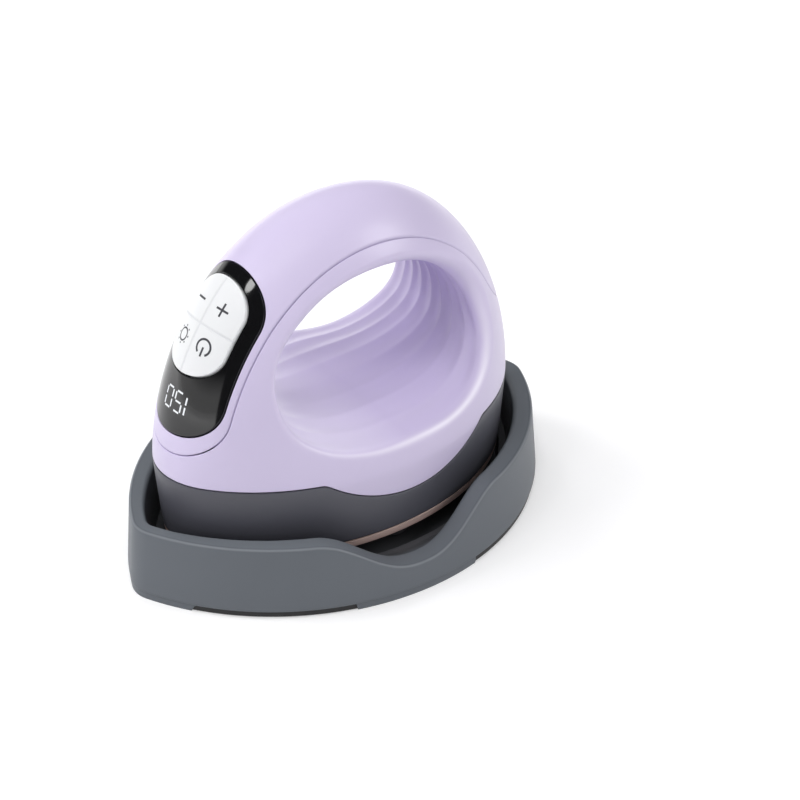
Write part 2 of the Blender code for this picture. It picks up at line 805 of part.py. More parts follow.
def screw(place, axis, shank_radius, shank_length, head_radius, head_height):
    """A pan-head screw: place is the middle of its seat, and axis points along the shank."""
    axis = Vector(axis).normalized()
    place = Vector(place)
    item = cylinder("Screw", place - axis * head_height, axis, head_radius, head_height, 10)
    shank = cylinder("Shank", place - axis * head_height / 2, axis, shank_radius,
                     shank_length + head_height / 2, 8)
    return combine(item, shank, "UNION")


def build_controls(board_material, dark_material, steel_material):
    top = control_board_top()
    down, up = panel_down() - CONTROL_DOWN_INSET, panel_up() - CONTROL_UP_INSET
    outline = capsule(down, up, pad_half_width() - CONTROL_SIDE_INSET, CONTROL_END_DEPTH, 8)
    board = panel_prism("control_board", outline, control_board_back(), top)
    outward = panel_frame()[3]
    for i, u in enumerate(control_post_places()):
        hole = cylinder("Hole", panel_point(u, 0.0, control_board_back() - OVERRUN), outward,
                        SMALL_SCREW_RADIUS + GAP, 2 * OVERRUN, 12)
        combine(board, hole)
        shank = SMALL_SCREW_LENGTH - GAP
        item = screw(panel_point(u, 0.0, top + GAP), -outward, SMALL_SCREW_RADIUS, shank,
                     SMALL_HEAD_RADIUS, SMALL_HEAD_HEIGHT)
        finish(item, f"control_board_screw_{i + 1}", steel_material)
    finish(board, "control_board", board_material)
    for name, up_sign, side_sign in KEYS:
        u, v = key_centre(up_sign, side_sign)
        half = SWITCH_SIZE / 2
        item = panel_block("Switch", (u - half, u + half), (v - half, v + half),
                           switch_top() - SWITCH_HEIGHT, switch_top())
        finish(item, name.replace("key", "switch"), dark_material)
    low = control_board_top() + GAP
    end = min(control_post_places()) - SMALL_HEAD_RADIUS - GAP
    display = panel_block("display_module", (-down, end),
                          (-DISPLAY_WIDTH / 2, DISPLAY_WIDTH / 2), low, low + DISPLAY_HEIGHT)
    finish(display, "display_module", dark_material)


def post_places():
    """The four stand-offs of the plate, outside the heating element's loop."""
    turn = math.radians(STANDOFF_TURN_DEGREES)
    angles = [turn, -turn, math.pi - turn, math.pi + turn]
    return plan_outline(BODY_HALF_LENGTH - STANDOFF_INSET, BODY_HALF_WIDTH - STANDOFF_INSET,
                        BODY_TIP_RADIUS - STANDOFF_INSET, PLAN_ROUND_SHARE, angles)


def tail_places():
    """Where the heating element's two cold ends rise: worked out from its loop."""
    end = element_path()[0]
    return [(end[0], end[1]), (end[0], -end[1])]


def element_path():
    """Half of the heating element: a cold end that drops onto the plate, then the loop."""
    level = plate_pad_top() + GAP + ELEMENT_DIAMETER / 2
    first = math.radians(ELEMENT_OPEN_DEGREES)
    angles = [first + (math.pi - first) * i / ELEMENT_STEPS for i in range(ELEMENT_STEPS + 1)]
    loop = plan_outline(BODY_HALF_LENGTH - ELEMENT_INSET, BODY_HALF_WIDTH - ELEMENT_INSET,
                        ELEMENT_TIP, PLAN_ROUND_SHARE, angles)
    start = Vector((*loop[0], level))
    ahead = (start - Vector((*loop[1], level))).normalized()
    bend = [Vector((0.0, 0.0, board_bottom() - GAP - level - ELEMENT_BEND)) + ahead * ELEMENT_BEND]
    for i in range(1, ELEMENT_BEND_STEPS + 1):
        turn = math.pi / 2 * i / ELEMENT_BEND_STEPS
        bend.append(ahead * ELEMENT_BEND * math.cos(turn)
                    + Vector((0.0, 0.0, -ELEMENT_BEND * math.sin(turn))))
    top = [tuple(start + step + Vector((0.0, 0.0, ELEMENT_BEND))) for step in bend]
    return top + [(x, y, level) for x, y in loop[1:]]


def tube(name, points, diameter, material):
    """A round bar along a route."""
    data = bpy.data.curves.new(name, "CURVE")
    data.dimensions = "3D"
    data.bevel_depth = diameter / 2
    data.bevel_resolution = 2
    data.use_fill_caps = True
    line = data.splines.new("POLY")
    line.points.add(len(points) - 1)
    for place, point in zip(line.points, points):
        place.co = (*point, 1.0)
    data.materials.append(material)
    item = bpy.data.objects.new(name, data)
    bpy.context.scene.collection.objects.link(item)
    return item


def build_heating(copper, steel, ceramic, mica, dark):
    rim_top = plate_rim_top()
    pad_top = plate_pad_top()
    edge = PLATE_INSET + PLATE_CHAMFER
    plate = loft("heat_plate", [
        body_ring(z, inset, PLATE_COUNT) for z, inset in (
            (PLATE_BOTTOM, edge),
            (PLATE_BOTTOM + PLATE_CHAMFER, PLATE_INSET),
            (rim_top - PLATE_CHAMFER, PLATE_INSET),
            (rim_top, edge),
            (rim_top, PLATE_PAD_INSET),
            (pad_top, PLATE_PAD_INSET),
        )
    ])
    drilled(plate, post_places(), pad_top - PLATE_HOLE_DEPTH, pad_top + OVERRUN, SCREW_RADIUS + GAP)
    finish(plate, "heat_plate", copper)

    half = element_path()
    path = half + [(x, -y, z) for x, y, z in reversed(half[:-1])]
    tube("heating_element", path, ELEMENT_DIAMETER, steel)

    seat = pad_top + GAP
    sensor_x = SENSOR_SHARE * BODY_HALF_LENGTH
    sensor = block("temperature_sensor",
                   (sensor_x - SENSOR_LENGTH / 2, -SENSOR_WIDTH / 2, seat),
                   (sensor_x + SENSOR_LENGTH / 2, SENSOR_WIDTH / 2, seat + SENSOR_HEIGHT))
    finish(sensor, "temperature_sensor", ceramic)
    fuse_x = FUSE_SHARE * BODY_HALF_LENGTH
    fuse = cylinder("thermal_fuse", (fuse_x, 0.0, seat + FUSE_RADIUS), (1.0, 0.0, 0.0),
                    FUSE_RADIUS, FUSE_LENGTH, 12)
    finish(fuse, "thermal_fuse", steel)

    low = sheet_bottom()
    for name, thickness, material in (("insulation_sheet", SHEET_THICKNESS, mica),
                                      ("heat_shield", SHIELD_THICKNESS, steel)):
        sheet = body_slab(name, (low, low + thickness), SKIRT_WALL + GAP)
        drilled(sheet, post_places(), low - OVERRUN, low + OVERRUN, STANDOFF_RADIUS + GAP)
        drilled(sheet, tail_places(), low - OVERRUN, low + OVERRUN, ELEMENT_DIAMETER / 2 + GAP)
        finish(sheet, name, material)
        low = shield_bottom()

    for i, (x, y) in enumerate(post_places()):
        height = deck_bottom() - GAP - seat
        standoff = cylinder("Standoff", (x, y, seat), (0.0, 0.0, 1.0), STANDOFF_RADIUS, height)
        drilled(standoff, [(x, y)], seat - OVERRUN, seat + height + OVERRUN, SCREW_RADIUS + GAP)
        finish(standoff, f"plate_standoff_{i + 1}", steel)
        top = deck_top() + GAP
        item = screw((x, y, top), (0.0, 0.0, -1.0), SCREW_RADIUS,
                     top - pad_top + PLATE_HOLE_DEPTH - GAP, HEAD_RADIUS, HEAD_HEIGHT)
        finish(item, f"plate_screw_{i + 1}", dark)


def build_lower_housing(material):
    """The dark skirt: outer wall, a lip that plugs into the housing, and a deck across it."""
    skirt = body_slab("lower_housing", (SKIRT_BOTTOM, SHOULDER, SPLIT_Z + OVERRUN), 0.0, RING_COUNT)
    combine(skirt, below_split("Below", -SEAM_GAP / 2), "INTERSECT")
    core = body_slab("Core", (SKIRT_BOTTOM + SKIRT_WALL, SHOULDER, SPLIT_Z + OVERRUN),
                     SHELL_WALL + GAP)
    combine(core, below_split("Below", SKIRT_LIP), "INTERSECT")
    combine(skirt, core, "UNION")
    under = (SKIRT_BOTTOM - OVERRUN, deck_bottom())
    over = (deck_top(), SHOULDER, SPLIT_Z + 2 * OVERRUN)
    combine(skirt, body_slab("Under", under, SKIRT_WALL))
    combine(skirt, body_slab("Over", over, SKIRT_WALL))
    for shares in BOARD_BOSS_SHARES:
        x, y = on_body(shares)
        middle = (deck_bottom() + deck_top()) / 2
        boss = cylinder("Boss", (x, y, middle), (0.0, 0.0, 1.0), POST_RADIUS,
                        board_bottom() - GAP - middle)
        combine(skirt, boss, "UNION")
    low, high = deck_bottom() - OVERRUN, deck_top() + OVERRUN
    drilled(skirt, post_places(), low, high, SCREW_RADIUS + GAP)
    drilled(skirt, tail_places(), low, high, ELEMENT_DIAMETER / 2 + GAP)
    bosses = [on_body(shares) for shares in HOUSING_BOSS_SHARES]
    drilled(skirt, bosses, low, high, SCREW_RADIUS + GAP)
    drilled(skirt, bosses, low, deck_bottom() + HEAD_HEIGHT + GAP, HEAD_RADIUS + GAP)
    gland = cylinder("Gland", (0.0, 0.0, gland_level()), (1.0, 0.0, 0.0), GLAND_RADIUS + GAP,
                     2 * BODY_HALF_LENGTH)
    combine(skirt, gland)
    return finish(skirt, "lower_housing", material)


def gland_level():
    """Height of the cord gland: it clears the deck by its inner flange."""
    return deck_top() + GAP + GLAND_FLANGE_RADIUS


def gland_wall():
    """How far back the skirt's outer face lies at the gland."""
    return max(point[0] for point in body_ring(gland_level(), 0.0))


def build_cord_gland(material):
    """A turned rubber bush: flange inside, neck through the wall, round nose outside."""
    wall = gland_wall()
    inside = wall - SKIRT_WALL - GLAND_STEP
    profile = [
        (GLAND_BORE_RADIUS, inside - GLAND_FLANGE), (GLAND_FLANGE_RADIUS, inside - GLAND_FLANGE),
        (GLAND_FLANGE_RADIUS, inside), (GLAND_RADIUS, inside),
        (GLAND_RADIUS, wall + GLAND_NOSE / 2), (GLAND_RADIUS - GLAND_NOSE / 2, wall + GLAND_NOSE),
        (GLAND_BORE_RADIUS, wall + GLAND_NOSE),
    ]
    sides = 20
    points = []
    faces = []
    for i in range(sides):
        turn = math.tau * i / sides
        points += [(x, r * math.cos(turn), gland_level() + r * math.sin(turn)) for r, x in profile]
        for k in range(len(profile)):
            a = i * len(profile)
            b = (i + 1) % sides * len(profile)
            n = (k + 1) % len(profile)
            faces.append((a + k, b + k, b + n, a + n))
    return finish(solid("cord_gland", points, faces), "cord_gland", material)


def build_power(board_material, dark, steel, blue):
    low, top = board_bottom(), board_top()
    board = body_slab("power_board", (low, top), BOARD_INSET)
    bosses = [on_body(shares) for shares in HOUSING_BOSS_SHARES]
    drilled(board, bosses, low - OVERRUN, low + OVERRUN, BOSS_RADIUS + 2 * GAP)
    finish(board, "power_board", board_material)
    seat = top + GAP
    blocks = (("relay", RELAY_SHARE, RELAY_SIZE, dark), ("terminal_block", TERMINAL_SHARE,
                                                         TERMINAL_SIZE, blue))
    for name, share, size, material in blocks:
        x = share * BODY_HALF_LENGTH
        item = block(name, (x - size[0] / 2, -size[1] / 2, seat), (x + size[0] / 2, size[1] / 2,
                                                                   seat + size[2]))
        finish(item, name, material)
    for name, shares, radius, height in (("capacitor", CAPACITOR_SHARES, CAPACITOR_RADIUS,
                                          CAPACITOR_HEIGHT),
                                         ("buzzer", BUZZER_SHARES, BUZZER_RADIUS, BUZZER_HEIGHT)):
        x, y = on_body(shares)
        item = cylinder(name, (x, y, seat), (0.0, 0.0, 1.0), radius, height, 16)
        finish(item, name, dark)
    for i, (x, y) in enumerate(bosses):
        item = screw((x, y, deck_bottom() + HEAD_HEIGHT), (0.0, 0.0, 1.0), SCREW_RADIUS,
                     SCREW_LENGTH - GAP, HEAD_RADIUS, HEAD_HEIGHT)
        finish(item, f"housing_screw_{i + 1}", steel)


def build_wiring_loom(material):
    """Sleeved wires from the back of the control board down to the power board."""
    outward = panel_frame()[3]
    down = POST_RADIUS + LOOM_DIAMETER / 2 + 2 * GAP
    start = panel_point(min(control_post_places()) - down, 0.0, control_board_back() - GAP)
    turn = start - outward * LOOM_DIAMETER
    column = LOOM_SHARE * BODY_HALF_LENGTH
    foot = board_top() + GAP
    points = [start, (start + turn) / 2, turn]
    for share in LOOM_DROP_SHARES:
        points.append(Vector((column, 0.0, foot + (turn.z - foot) * share)))
    return tube("wiring_loom", points, LOOM_DIAMETER, material)


def stand_arc():
    """Radius of the two long sides of the stand's plan."""
    return ((STAND_HALF_LENGTH ** 2 - 2 * STAND_HALF_LENGTH * STAND_TIP_RADIUS
             + STAND_HALF_WIDTH ** 2) / (2 * (STAND_HALF_WIDTH - STAND_TIP_RADIUS)))


def stand_outline(inset, tip, angles):
    """The stand's plan moved in by inset, its tips rounded by tip."""
    arc = stand_arc()
    centre = math.sqrt((arc - inset - tip) ** 2 - (arc - STAND_HALF_WIDTH) ** 2)
    return plan_outline(centre + tip, STAND_HALF_WIDTH - inset, tip, 0.0, angles)


def scoop_drop(x):
    """Share of the rim's height that is left at x, from 0 at the bottom of the scoop to 1."""
    reach = min(abs(x - SCOOP_X) / SCOOP_HALF_LENGTH, 1.0)
    return ((1 - math.cos(math.pi * reach)) / 2) ** SCOOP_POWER


def foot_angles():
    """Where the feet begin and end, as the direction that the outline faces there."""
    arc = stand_arc()
    side = [math.acos(x / arc) for x in (SIDE_FOOT_BACK, SIDE_FOOT_FRONT)]
    tip = math.asin((TIP_FOOT_HALF_WIDTH - STAND_HALF_WIDTH + arc) / arc)
    return side, tip


def on_foot(angle):
    side, tip = foot_angles()
    turn = math.atan2(abs(math.sin(angle)), math.cos(angle))
    return turn < tip or turn > math.pi - tip or side[0] < turn < side[1]


def stand_angles():
    side, tip = foot_angles()
    edges = [tip, side[0], side[1], math.pi - tip]
    edges += [-edge for edge in edges]
    step = math.radians(FOOT_EDGE_DEGREES)
    angles = [edge % math.tau + shift for edge in edges for shift in (-step, step)]
    clear = 2 * step
    for angle in ring_angles(STAND_COUNT):
        if all(abs(angle - other) > clear for other in angles):
            angles.append(angle)
    return sorted(angles)


def build_stand_shell(material):
    angles = stand_angles()
    outside = stand_outline(0.0, STAND_TIP_RADIUS, angles)
    tops = [SHELF_Z + SCOOP_LIP + (STAND_RIM - SHELF_Z - SCOOP_LIP) * scoop_drop(x) for x, _ in outside]
    feet = [0.0 if on_foot(angle) else FOOT_HEIGHT for angle in angles]
    inner = [SHELF_Z + (top - SHELF_Z) * (1 - RIM_ROUND / (STAND_RIM - SHELF_Z)) for top in tops]
    draft = math.tan(STAND_DRAFT)

    def ring(inset, tip, heights):
        """One ring: every point has its own height, and leans in with the wall's draft."""
        points = []
        for i, z in enumerate(heights):
            x, y = stand_outline(inset + z * draft, tip, [angles[i]])[0]
            points.append((x, y, z))
        return points

    def level(inset, tip, z):
        return ring(inset, tip, [z] * len(angles))

    tip_in = STAND_TIP_RADIUS / 2
    rows = [
        level(BASE_INSET, tip_in, base_level()),
        ring(BASE_INSET, tip_in, feet),
        ring(FOOT_ROUND, STAND_TIP_RADIUS - FOOT_ROUND, feet),
        ring(0.0, STAND_TIP_RADIUS, [z + FOOT_ROUND for z in feet]),
    ]
    for share in RIM_ARC_SHARES:
        turn = math.pi / 2 * share
        drop = RIM_ROUND * (1 - math.sin(turn))
        move = RIM_ROUND * (1 - math.cos(turn))
        rows.append(ring(move, STAND_TIP_RADIUS - move, [top - drop for top in tops]))
    for share in reversed(RIM_ARC_SHARES):
        turn = math.pi / 2 * share
        move = RIM_WIDTH - RIM_ROUND * (1 - math.cos(turn))
        fall = 1 - math.sin(turn)
        rows.append(ring(move, tip_in, [top - (top - low) * fall for top, low in zip(tops, inner)]))
    rows += [
        level(SHELF_INSET, tip_in, SHELF_Z),
        level(PIT_INSET, tip_in, SHELF_Z),
        level(PIT_INSET + PIT_SLOPE, tip_in, PIT_FLOOR),
    ]
    shell = loft("stand_shell", rows)
    for x, y in base_screw_places():
        boss = cylinder("Boss", (x, y, (base_level() + PIT_FLOOR) / 2), (0.0, 0.0, 1.0), BOSS_RADIUS,
                        BASE_SCREW_LENGTH + GAP)
        combine(shell, boss, "UNION")
    drilled(shell, base_screw_places(), 0.0, base_level() + BASE_SCREW_LENGTH - HEAD_HEIGHT,
            SCREW_RADIUS + GAP)
    return finish(shell, "stand_shell", material)


def base_screw_places():
    return [(a * STAND_HALF_LENGTH, b * STAND_HALF_WIDTH) for a, b in BASE_SCREW_SHARES]


def build_stand_base(dark, steel, rubber):
    top = base_level() - GAP
    low = top - BASE_THICKNESS
    angles = ring_angles(INNER_RING_COUNT)
    inset = BASE_INSET + 2 * GAP
    rings = [[(x, y, z) for x, y in stand_outline(inset, STAND_TIP_RADIUS / 2, angles)]
             for z in (low, top)]
    base = loft("stand_base", rings)
    drilled(base, base_screw_places(), low - OVERRUN, top + OVERRUN, SCREW_RADIUS + GAP)
    finish(base, "stand_base", dark)
    for i, (x, y) in enumerate(base_screw_places()):
        head = low - GAP - BASE_SCREW_CLEAR
        item = screw((x, y, low - GAP), (0.0, 0.0, 1.0), SCREW_RADIUS, BASE_SCREW_LENGTH - GAP,
                     HEAD_RADIUS, head)
        finish(item, f"stand_base_screw_{i + 1}", steel)
    for i, (a, b) in enumerate(REST_SHARES):
        foot = PIT_FLOOR + GAP
        item = cylinder("Rest", (a * STAND_HALF_LENGTH, b * STAND_HALF_WIDTH, foot), (0.0, 0.0, 1.0),
                        REST_RADIUS, rest_top() - foot)
        finish(item, f"stand_rest_{i + 1}", rubber, REST_ROUND)


def main():
    clear_scene()
    lilac = paint("Lilac Plastic", (0.62, 0.56, 0.76), 0.38)
    black = paint("Gloss Black", (0.004, 0.004, 0.004), 0.06)
    white = paint("White Key", (0.86, 0.87, 0.89), 0.5)
    charcoal = paint("Charcoal Plastic", (0.055, 0.053, 0.063), 0.55)
    grey = paint("Stand Grey", (0.125, 0.132, 0.156), 0.5)
    copper = paint("Copper Plate", (0.62, 0.36, 0.30), 0.35, 1.0)
    steel = paint("Steel", (0.5, 0.5, 0.5), 0.3, 1.0)
    ceramic = paint("Ceramic", (0.8, 0.78, 0.72), 0.6)
    mica = paint("Mica Sheet", (0.55, 0.5, 0.38), 0.7)
    dark = paint("Dark Plastic", (0.02, 0.02, 0.022), 0.5)
    board = paint("Circuit Board", (0.02, 0.18, 0.07), 0.45)
    blue = paint("Terminal Blue", (0.03, 0.12, 0.4), 0.45)
    rubber = paint("Silicone Grey", (0.08, 0.08, 0.09), 0.8)

    build_main_housing(lilac)
    build_top_cover(lilac)
    build_panel_window(black)
    for name, up_sign, side_sign in KEYS:
        build_key(name, up_sign, side_sign, white)
    build_controls(board, dark, steel)
    build_lower_housing(charcoal)
    build_heating(copper, steel, ceramic, mica, dark)
    build_power(board, dark, steel, blue)
    build_wiring_loom(dark)
    build_cord_gland(dark)
    build_stand_shell(grey)
    build_stand_base(dark, steel, rubber)


main()
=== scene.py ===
import math

import bmesh
import bpy
import numpy as np
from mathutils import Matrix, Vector


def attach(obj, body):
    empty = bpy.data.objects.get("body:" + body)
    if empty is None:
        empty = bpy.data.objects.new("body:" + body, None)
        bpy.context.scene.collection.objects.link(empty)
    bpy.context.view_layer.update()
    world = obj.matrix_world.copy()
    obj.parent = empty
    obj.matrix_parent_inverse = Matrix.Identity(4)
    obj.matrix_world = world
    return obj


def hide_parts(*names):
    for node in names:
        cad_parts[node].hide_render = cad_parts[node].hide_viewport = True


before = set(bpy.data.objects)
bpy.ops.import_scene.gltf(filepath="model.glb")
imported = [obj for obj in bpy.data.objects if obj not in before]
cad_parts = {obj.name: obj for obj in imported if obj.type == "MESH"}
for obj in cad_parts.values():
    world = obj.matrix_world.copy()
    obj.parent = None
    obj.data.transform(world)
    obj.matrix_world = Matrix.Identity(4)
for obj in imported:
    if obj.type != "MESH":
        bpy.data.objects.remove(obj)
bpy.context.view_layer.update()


# Stand shell: a lens-shaped tray injection-moulded in grey heat-proof plastic, with a rounded rim,
# a finger scoop swept into each long side, an inner shelf, a pit and four moulded feet.
MM = 0.001
STAND_HALF_LENGTH = 65.0 * MM
STAND_HALF_WIDTH = 45.5 * MM
STAND_TIP_RADIUS = 8.5 * MM
STAND_INNER_TIP_RADIUS = STAND_TIP_RADIUS / 2
STAND_RIM = 20.0 * MM
STAND_DRAFT = math.radians(5.0)
RIM_WIDTH = 5.5 * MM
RIM_ROUND = 1.5 * MM
RIM_EDGE = 0.75 * MM
RIM_TIP_THIN = 1.7 * MM
RIM_THIN_FROM = 0.35
RIM_THIN_SPAN = 0.5
SHELF_Z = 8.0 * MM
SHELF_INSET = 8.0 * MM
PIT_INSET = 10.0 * MM
PIT_SLOPE = 1.0 * MM
PIT_FLOOR = 4.0 * MM
PIT_EDGE = 0.4 * MM
SCOOP_X = -6.5 * MM
SCOOP_HALF_LENGTH = 28.0 * MM
SCOOP_LIP = 0.7 * MM
SCOOP_POWER = 1.25
FOOT_HEIGHT = 1.8 * MM
FOOT_ROUND = 0.45 * MM
FOOT_STEP = 0.25 * MM
FOOT_SET_BACK = 0.35 * MM
FOOT_EDGE = 0.2 * MM
FOOT_CREASE = 0.02 * MM
TIP_FOOT_HALF_WIDTH = 15.2 * MM
SIDE_FOOT_X = (-25.0 * MM, 11.0 * MM)
BASE_INSET = 7.0 * MM
BASE_LEVEL = 2.2 * MM
STAND_GREY = (0.113, 0.127, 0.146)
# Painted highlight colour of the rim's outer rounding and top:
STAND_PAINTED_HIGHLIGHT = (0.19, 0.205, 0.225)
# Painted shade colour of the tray's inside:
STAND_PAINTED_SHADE = (0.065, 0.067, 0.074)
STAND_POINTS = 900
RING_PULL = 0.3
CREST_ROWS = 8
# Share of the painted highlight laid over the rim's top:
RIM_TOP_PAINTED_LIGHT = 0.35
# Painted shade inside the rim starts this many rows into the rim's inner rounding and fades in over
# the next rows:
PAINTED_SHADE_FROM_ROW = 6
PAINTED_SHADE_FADE_ROWS = 4
WELD_REACH = 0.004 * MM
SLIVER_REACH = 0.002 * MM
BOSS_SHARES = ((0.38, 0.42), (0.38, -0.42), (-0.38, 0.42), (-0.38, -0.42))
BOSS_PROFILE = ((4.3, 3.9), (3.8, 4.05), (3.5, 4.4), (3.5, 7.2), (3.4, 7.45), (3.1, 7.55))


def side_arc(half_length, half_width, tip_radius):
    """Radius of the long arc at each side of a lens with rounded tips."""
    return ((half_length ** 2 - 2 * half_length * tip_radius + half_width ** 2)
            / (2 * (half_width - tip_radius)))


def plan_outline(half_length, half_width, tip_radius, roundness, turns):
    """Lens outline eased towards an ellipse; turns are the directions that the outline faces."""
    c, s = np.cos(turns), np.sin(turns)
    arc = side_arc(half_length, half_width, tip_radius)
    tip_turn = np.arctan2(arc - half_width, half_length - tip_radius)
    on_tip = np.arctan2(abs(s), abs(c)) < tip_turn
    lens_x = np.where(on_tip, (half_length - tip_radius) * np.sign(c) + tip_radius * c, arc * c)
    lens_y = np.where(on_tip, tip_radius * s, (half_width - arc) * np.sign(s) + arc * s)
    reach = np.hypot(half_length * c, half_width * s)
    x = (1 - roundness) * lens_x + roundness * half_length ** 2 * c / reach
    y = (1 - roundness) * lens_y + roundness * half_width ** 2 * s / reach
    return x, y


def ring_turns(count):
    """Facing directions for one ring, drawn together on the long sides."""
    turns = math.tau * (np.arange(count) + 0.5) / count
    return turns + RING_PULL * np.sin(2 * turns)


def plain_object(name, points, faces):
    """A flat-shaded mesh object of just these points and faces."""
    mesh = bpy.data.meshes.new(name)
    mesh.from_pydata(np.asarray(points).reshape(-1, 3).tolist(), [], faces)
    item = bpy.data.objects.new(name, mesh)
    bpy.context.scene.collection.objects.link(item)
    return item


def mesh_object(name, points, faces, sharp, **marks):
    """A smooth-shaded mesh object; edges steeper than sharp degrees stay crisp.

    Marks are values from 0 to 1 at its points, which a finish can read.
    """
    item = plain_object(name, points, faces)
    mesh = item.data
    for mark, values in marks.items():
        mesh.attributes.new(mark, "FLOAT", "POINT").data.foreach_set("value", np.ravel(values))
    work = bmesh.new()
    work.from_mesh(mesh)
    bmesh.ops.remove_doubles(work, verts=work.verts, dist=WELD_REACH)
    bmesh.ops.dissolve_degenerate(work, edges=work.edges, dist=SLIVER_REACH)
    bmesh.ops.recalc_face_normals(work, faces=work.faces)
    work.to_mesh(mesh)
    work.free()
    mesh.shade_smooth()
    mesh.set_sharp_from_angle(angle=math.radians(sharp))
    return item


def grid_faces(rows, columns, closed=False, start=0):
    """Quads of a grid of points; closed joins the last column to the first."""
    faces = []
    for i in range(rows - 1):
        for j in range(columns if closed else columns - 1):
            k = (j + 1) % columns
            a = start + i * columns
            faces.append((a + j, a + k, a + columns + k, a + columns + j))
    return faces


def capped_rings(name, rings, sharp, **marks):
    """A closed solid through rings of equal count, with a flat cap at each end."""
    rings = np.asarray(rings)
    rows, columns, _ = rings.shape
    faces = grid_faces(rows, columns, closed=True)
    faces.append(tuple(range(columns)))
    faces.append(tuple(range((rows - 1) * columns, rows * columns)))
    return mesh_object(name, rings, faces, sharp, **marks)


class Value:
    """A number or colour that varies over a surface: arithmetic on it adds the shader's maths."""

    def __init__(self, nodes, socket):
        self.nodes = nodes
        self.socket = socket

    def _math(self, operation, other):
        return self.nodes.node("ShaderNodeMath", {"operation": operation}, {0: self, 1: other})

    def __add__(self, other):
        return self._math("ADD", other)

    def __mul__(self, other):
        return self._math("MULTIPLY", other)

    def __or__(self, other):
        """The larger of two values."""
        return self._math("MAXIMUM", other)

    __radd__ = __add__
    __rmul__ = __mul__
    __ror__ = __or__


class Nodes:
    """The nodes of one material or world, each added by a call."""

    def __init__(self, owner):
        owner.use_nodes = True
        self.tree = owner.node_tree

    def node(self, kind, settings, inputs, output=0):
        """Adds a node: its settings first, then the values or links of its sockets."""
        made = self.tree.nodes.new(kind)
        for key, value in settings.items():
            if key == "stops":
                ramp = made.color_ramp
                while len(ramp.elements) < len(value):
                    ramp.elements.new(0.5)
                for element, (position, colour) in zip(ramp.elements, value):
                    element.position = position
                    element.color = (*colour, 1.0)
            else:
                setattr(made, key, value)
        for key, value in inputs.items():
            socket = made.inputs[key]
            if isinstance(value, Value):
                self.tree.links.new(value.socket, socket)
            else:
                socket.default_value = value
        return Value(self, made.outputs[output])

    def ray(self, kind):
        """1 for rays of that kind, 0 for all the others."""
        return self.node("ShaderNodeLightPath", {}, {}, f"Is {kind} Ray")


class Finish(Nodes):
    """One material: constants go straight onto the shader, varying values are fed to it."""

    def __init__(self, name, **settings):
        self.material = bpy.data.materials.new(name)
        super().__init__(self.material)
        self.shader = self.tree.nodes["Principled BSDF"]
        for key, value in settings.items():
            socket = key.replace("_", " ").title().replace("Ior", "IOR")
            self.shader.inputs[socket].default_value = value
        self.place = self.node("ShaderNodeTexCoord", {}, {}, "Object")

    def feed(self, name, value):
        """Links a varying value to one of the shader's sockets."""
        self.tree.links.new(value.socket, self.shader.inputs[name])

    def noise(self, size, detail=2.0, roughness=0.5):
        """Even noise, from 0 to 1, whose grains are about size across."""
        return self.node("ShaderNodeTexNoise", {}, {"Vector": self.place, "Scale": 1 / size,
                                                    "Detail": detail, "Roughness": roughness})

    def mark(self, name):
        """A mark of the mesh, by name; it is 0 on a mesh without it."""
        return self.node("ShaderNodeAttribute", {"attribute_name": name}, {}, "Fac")

    def between(self, low, high, mask):
        """A colour between two colours, by a mask from 0 to 1."""
        low, high = (end if isinstance(end, Value) else (*end, 1.0) for end in (low, high))
        return self.node("ShaderNodeMix", {"data_type": "RGBA"},
                         {"Factor": mask, 6: low, 7: high}, 2)

    def bump(self, height, distance):
        """Raises the surface by a height from 0 to 1 times distance."""
        self.feed("Normal", self.node("ShaderNodeBump", {}, {"Height": height,
                                                             "Distance": distance}, "Normal"))


def moulded(name, colour, roughness, grain=0.35 * MM, depth=0.006 * MM, shade=0.05, marks=None,
            **settings):
    """Moulded plastic: fine spark-eroded grain, faint flow shading and uneven sheen.

    The colour turns to another one where the mesh carries that colour's mark; these marks paint
    highlight and shade.
    """
    finish = Finish(name, **settings)
    flow = finish.noise(18.0 * MM, detail=3.0)
    fine = finish.noise(grain, detail=3.0, roughness=0.6)
    low = tuple(c * (1 - shade) for c in colour)
    high = tuple(min(1.0, c * (1 + shade)) for c in colour)
    tone = finish.between(low, high, flow * 0.7 + fine * 0.3)
    for mark, other in (marks or {}).items():
        tone = finish.between(tone, other, finish.mark(mark))
    finish.feed("Base Color", tone)
    finish.feed("Roughness", fine * 0.08 + flow * 0.06 + (roughness - 0.07))
    finish.bump(fine, depth)
    return finish.material


def dress(item, material, body, *nodes, slot=None):
    """Gives a piece its material and its body, and hides the CAD nodes it stands for; its slot is
    not used.
    """
    item.data.materials.clear()
    item.data.materials.append(material)
    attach(item, body)
    if nodes:
        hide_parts(*nodes)
    return item


def stand_ring(inset, tip, heights, turns):
    """One ring of the stand, moved in by inset and by the wall's draft at each point's height."""
    arc = side_arc(STAND_HALF_LENGTH, STAND_HALF_WIDTH, STAND_TIP_RADIUS)
    inset = inset + heights * math.tan(STAND_DRAFT)
    half_width = STAND_HALF_WIDTH - inset
    half_length = np.sqrt((arc - inset - tip) ** 2 - (arc - STAND_HALF_WIDTH) ** 2) + tip
    x, y = plan_outline(half_length, half_width, tip, 0.0, turns)
    return np.stack([x, y, heights], axis=-1)


def stand_feet(x, y):
    """Height of the wall's lower edge: 0 on a foot, with a short ramp at each foot's ends."""
    side = np.maximum(SIDE_FOOT_X[0] - x, x - SIDE_FOOT_X[1])
    tip = abs(y) - TIP_FOOT_HALF_WIDTH
    off = np.where(abs(x) < STAND_HALF_LENGTH / 2, side, np.minimum(tip, np.maximum(side, tip)))
    return FOOT_HEIGHT * np.clip(off / FOOT_STEP, 0.0, 1.0)


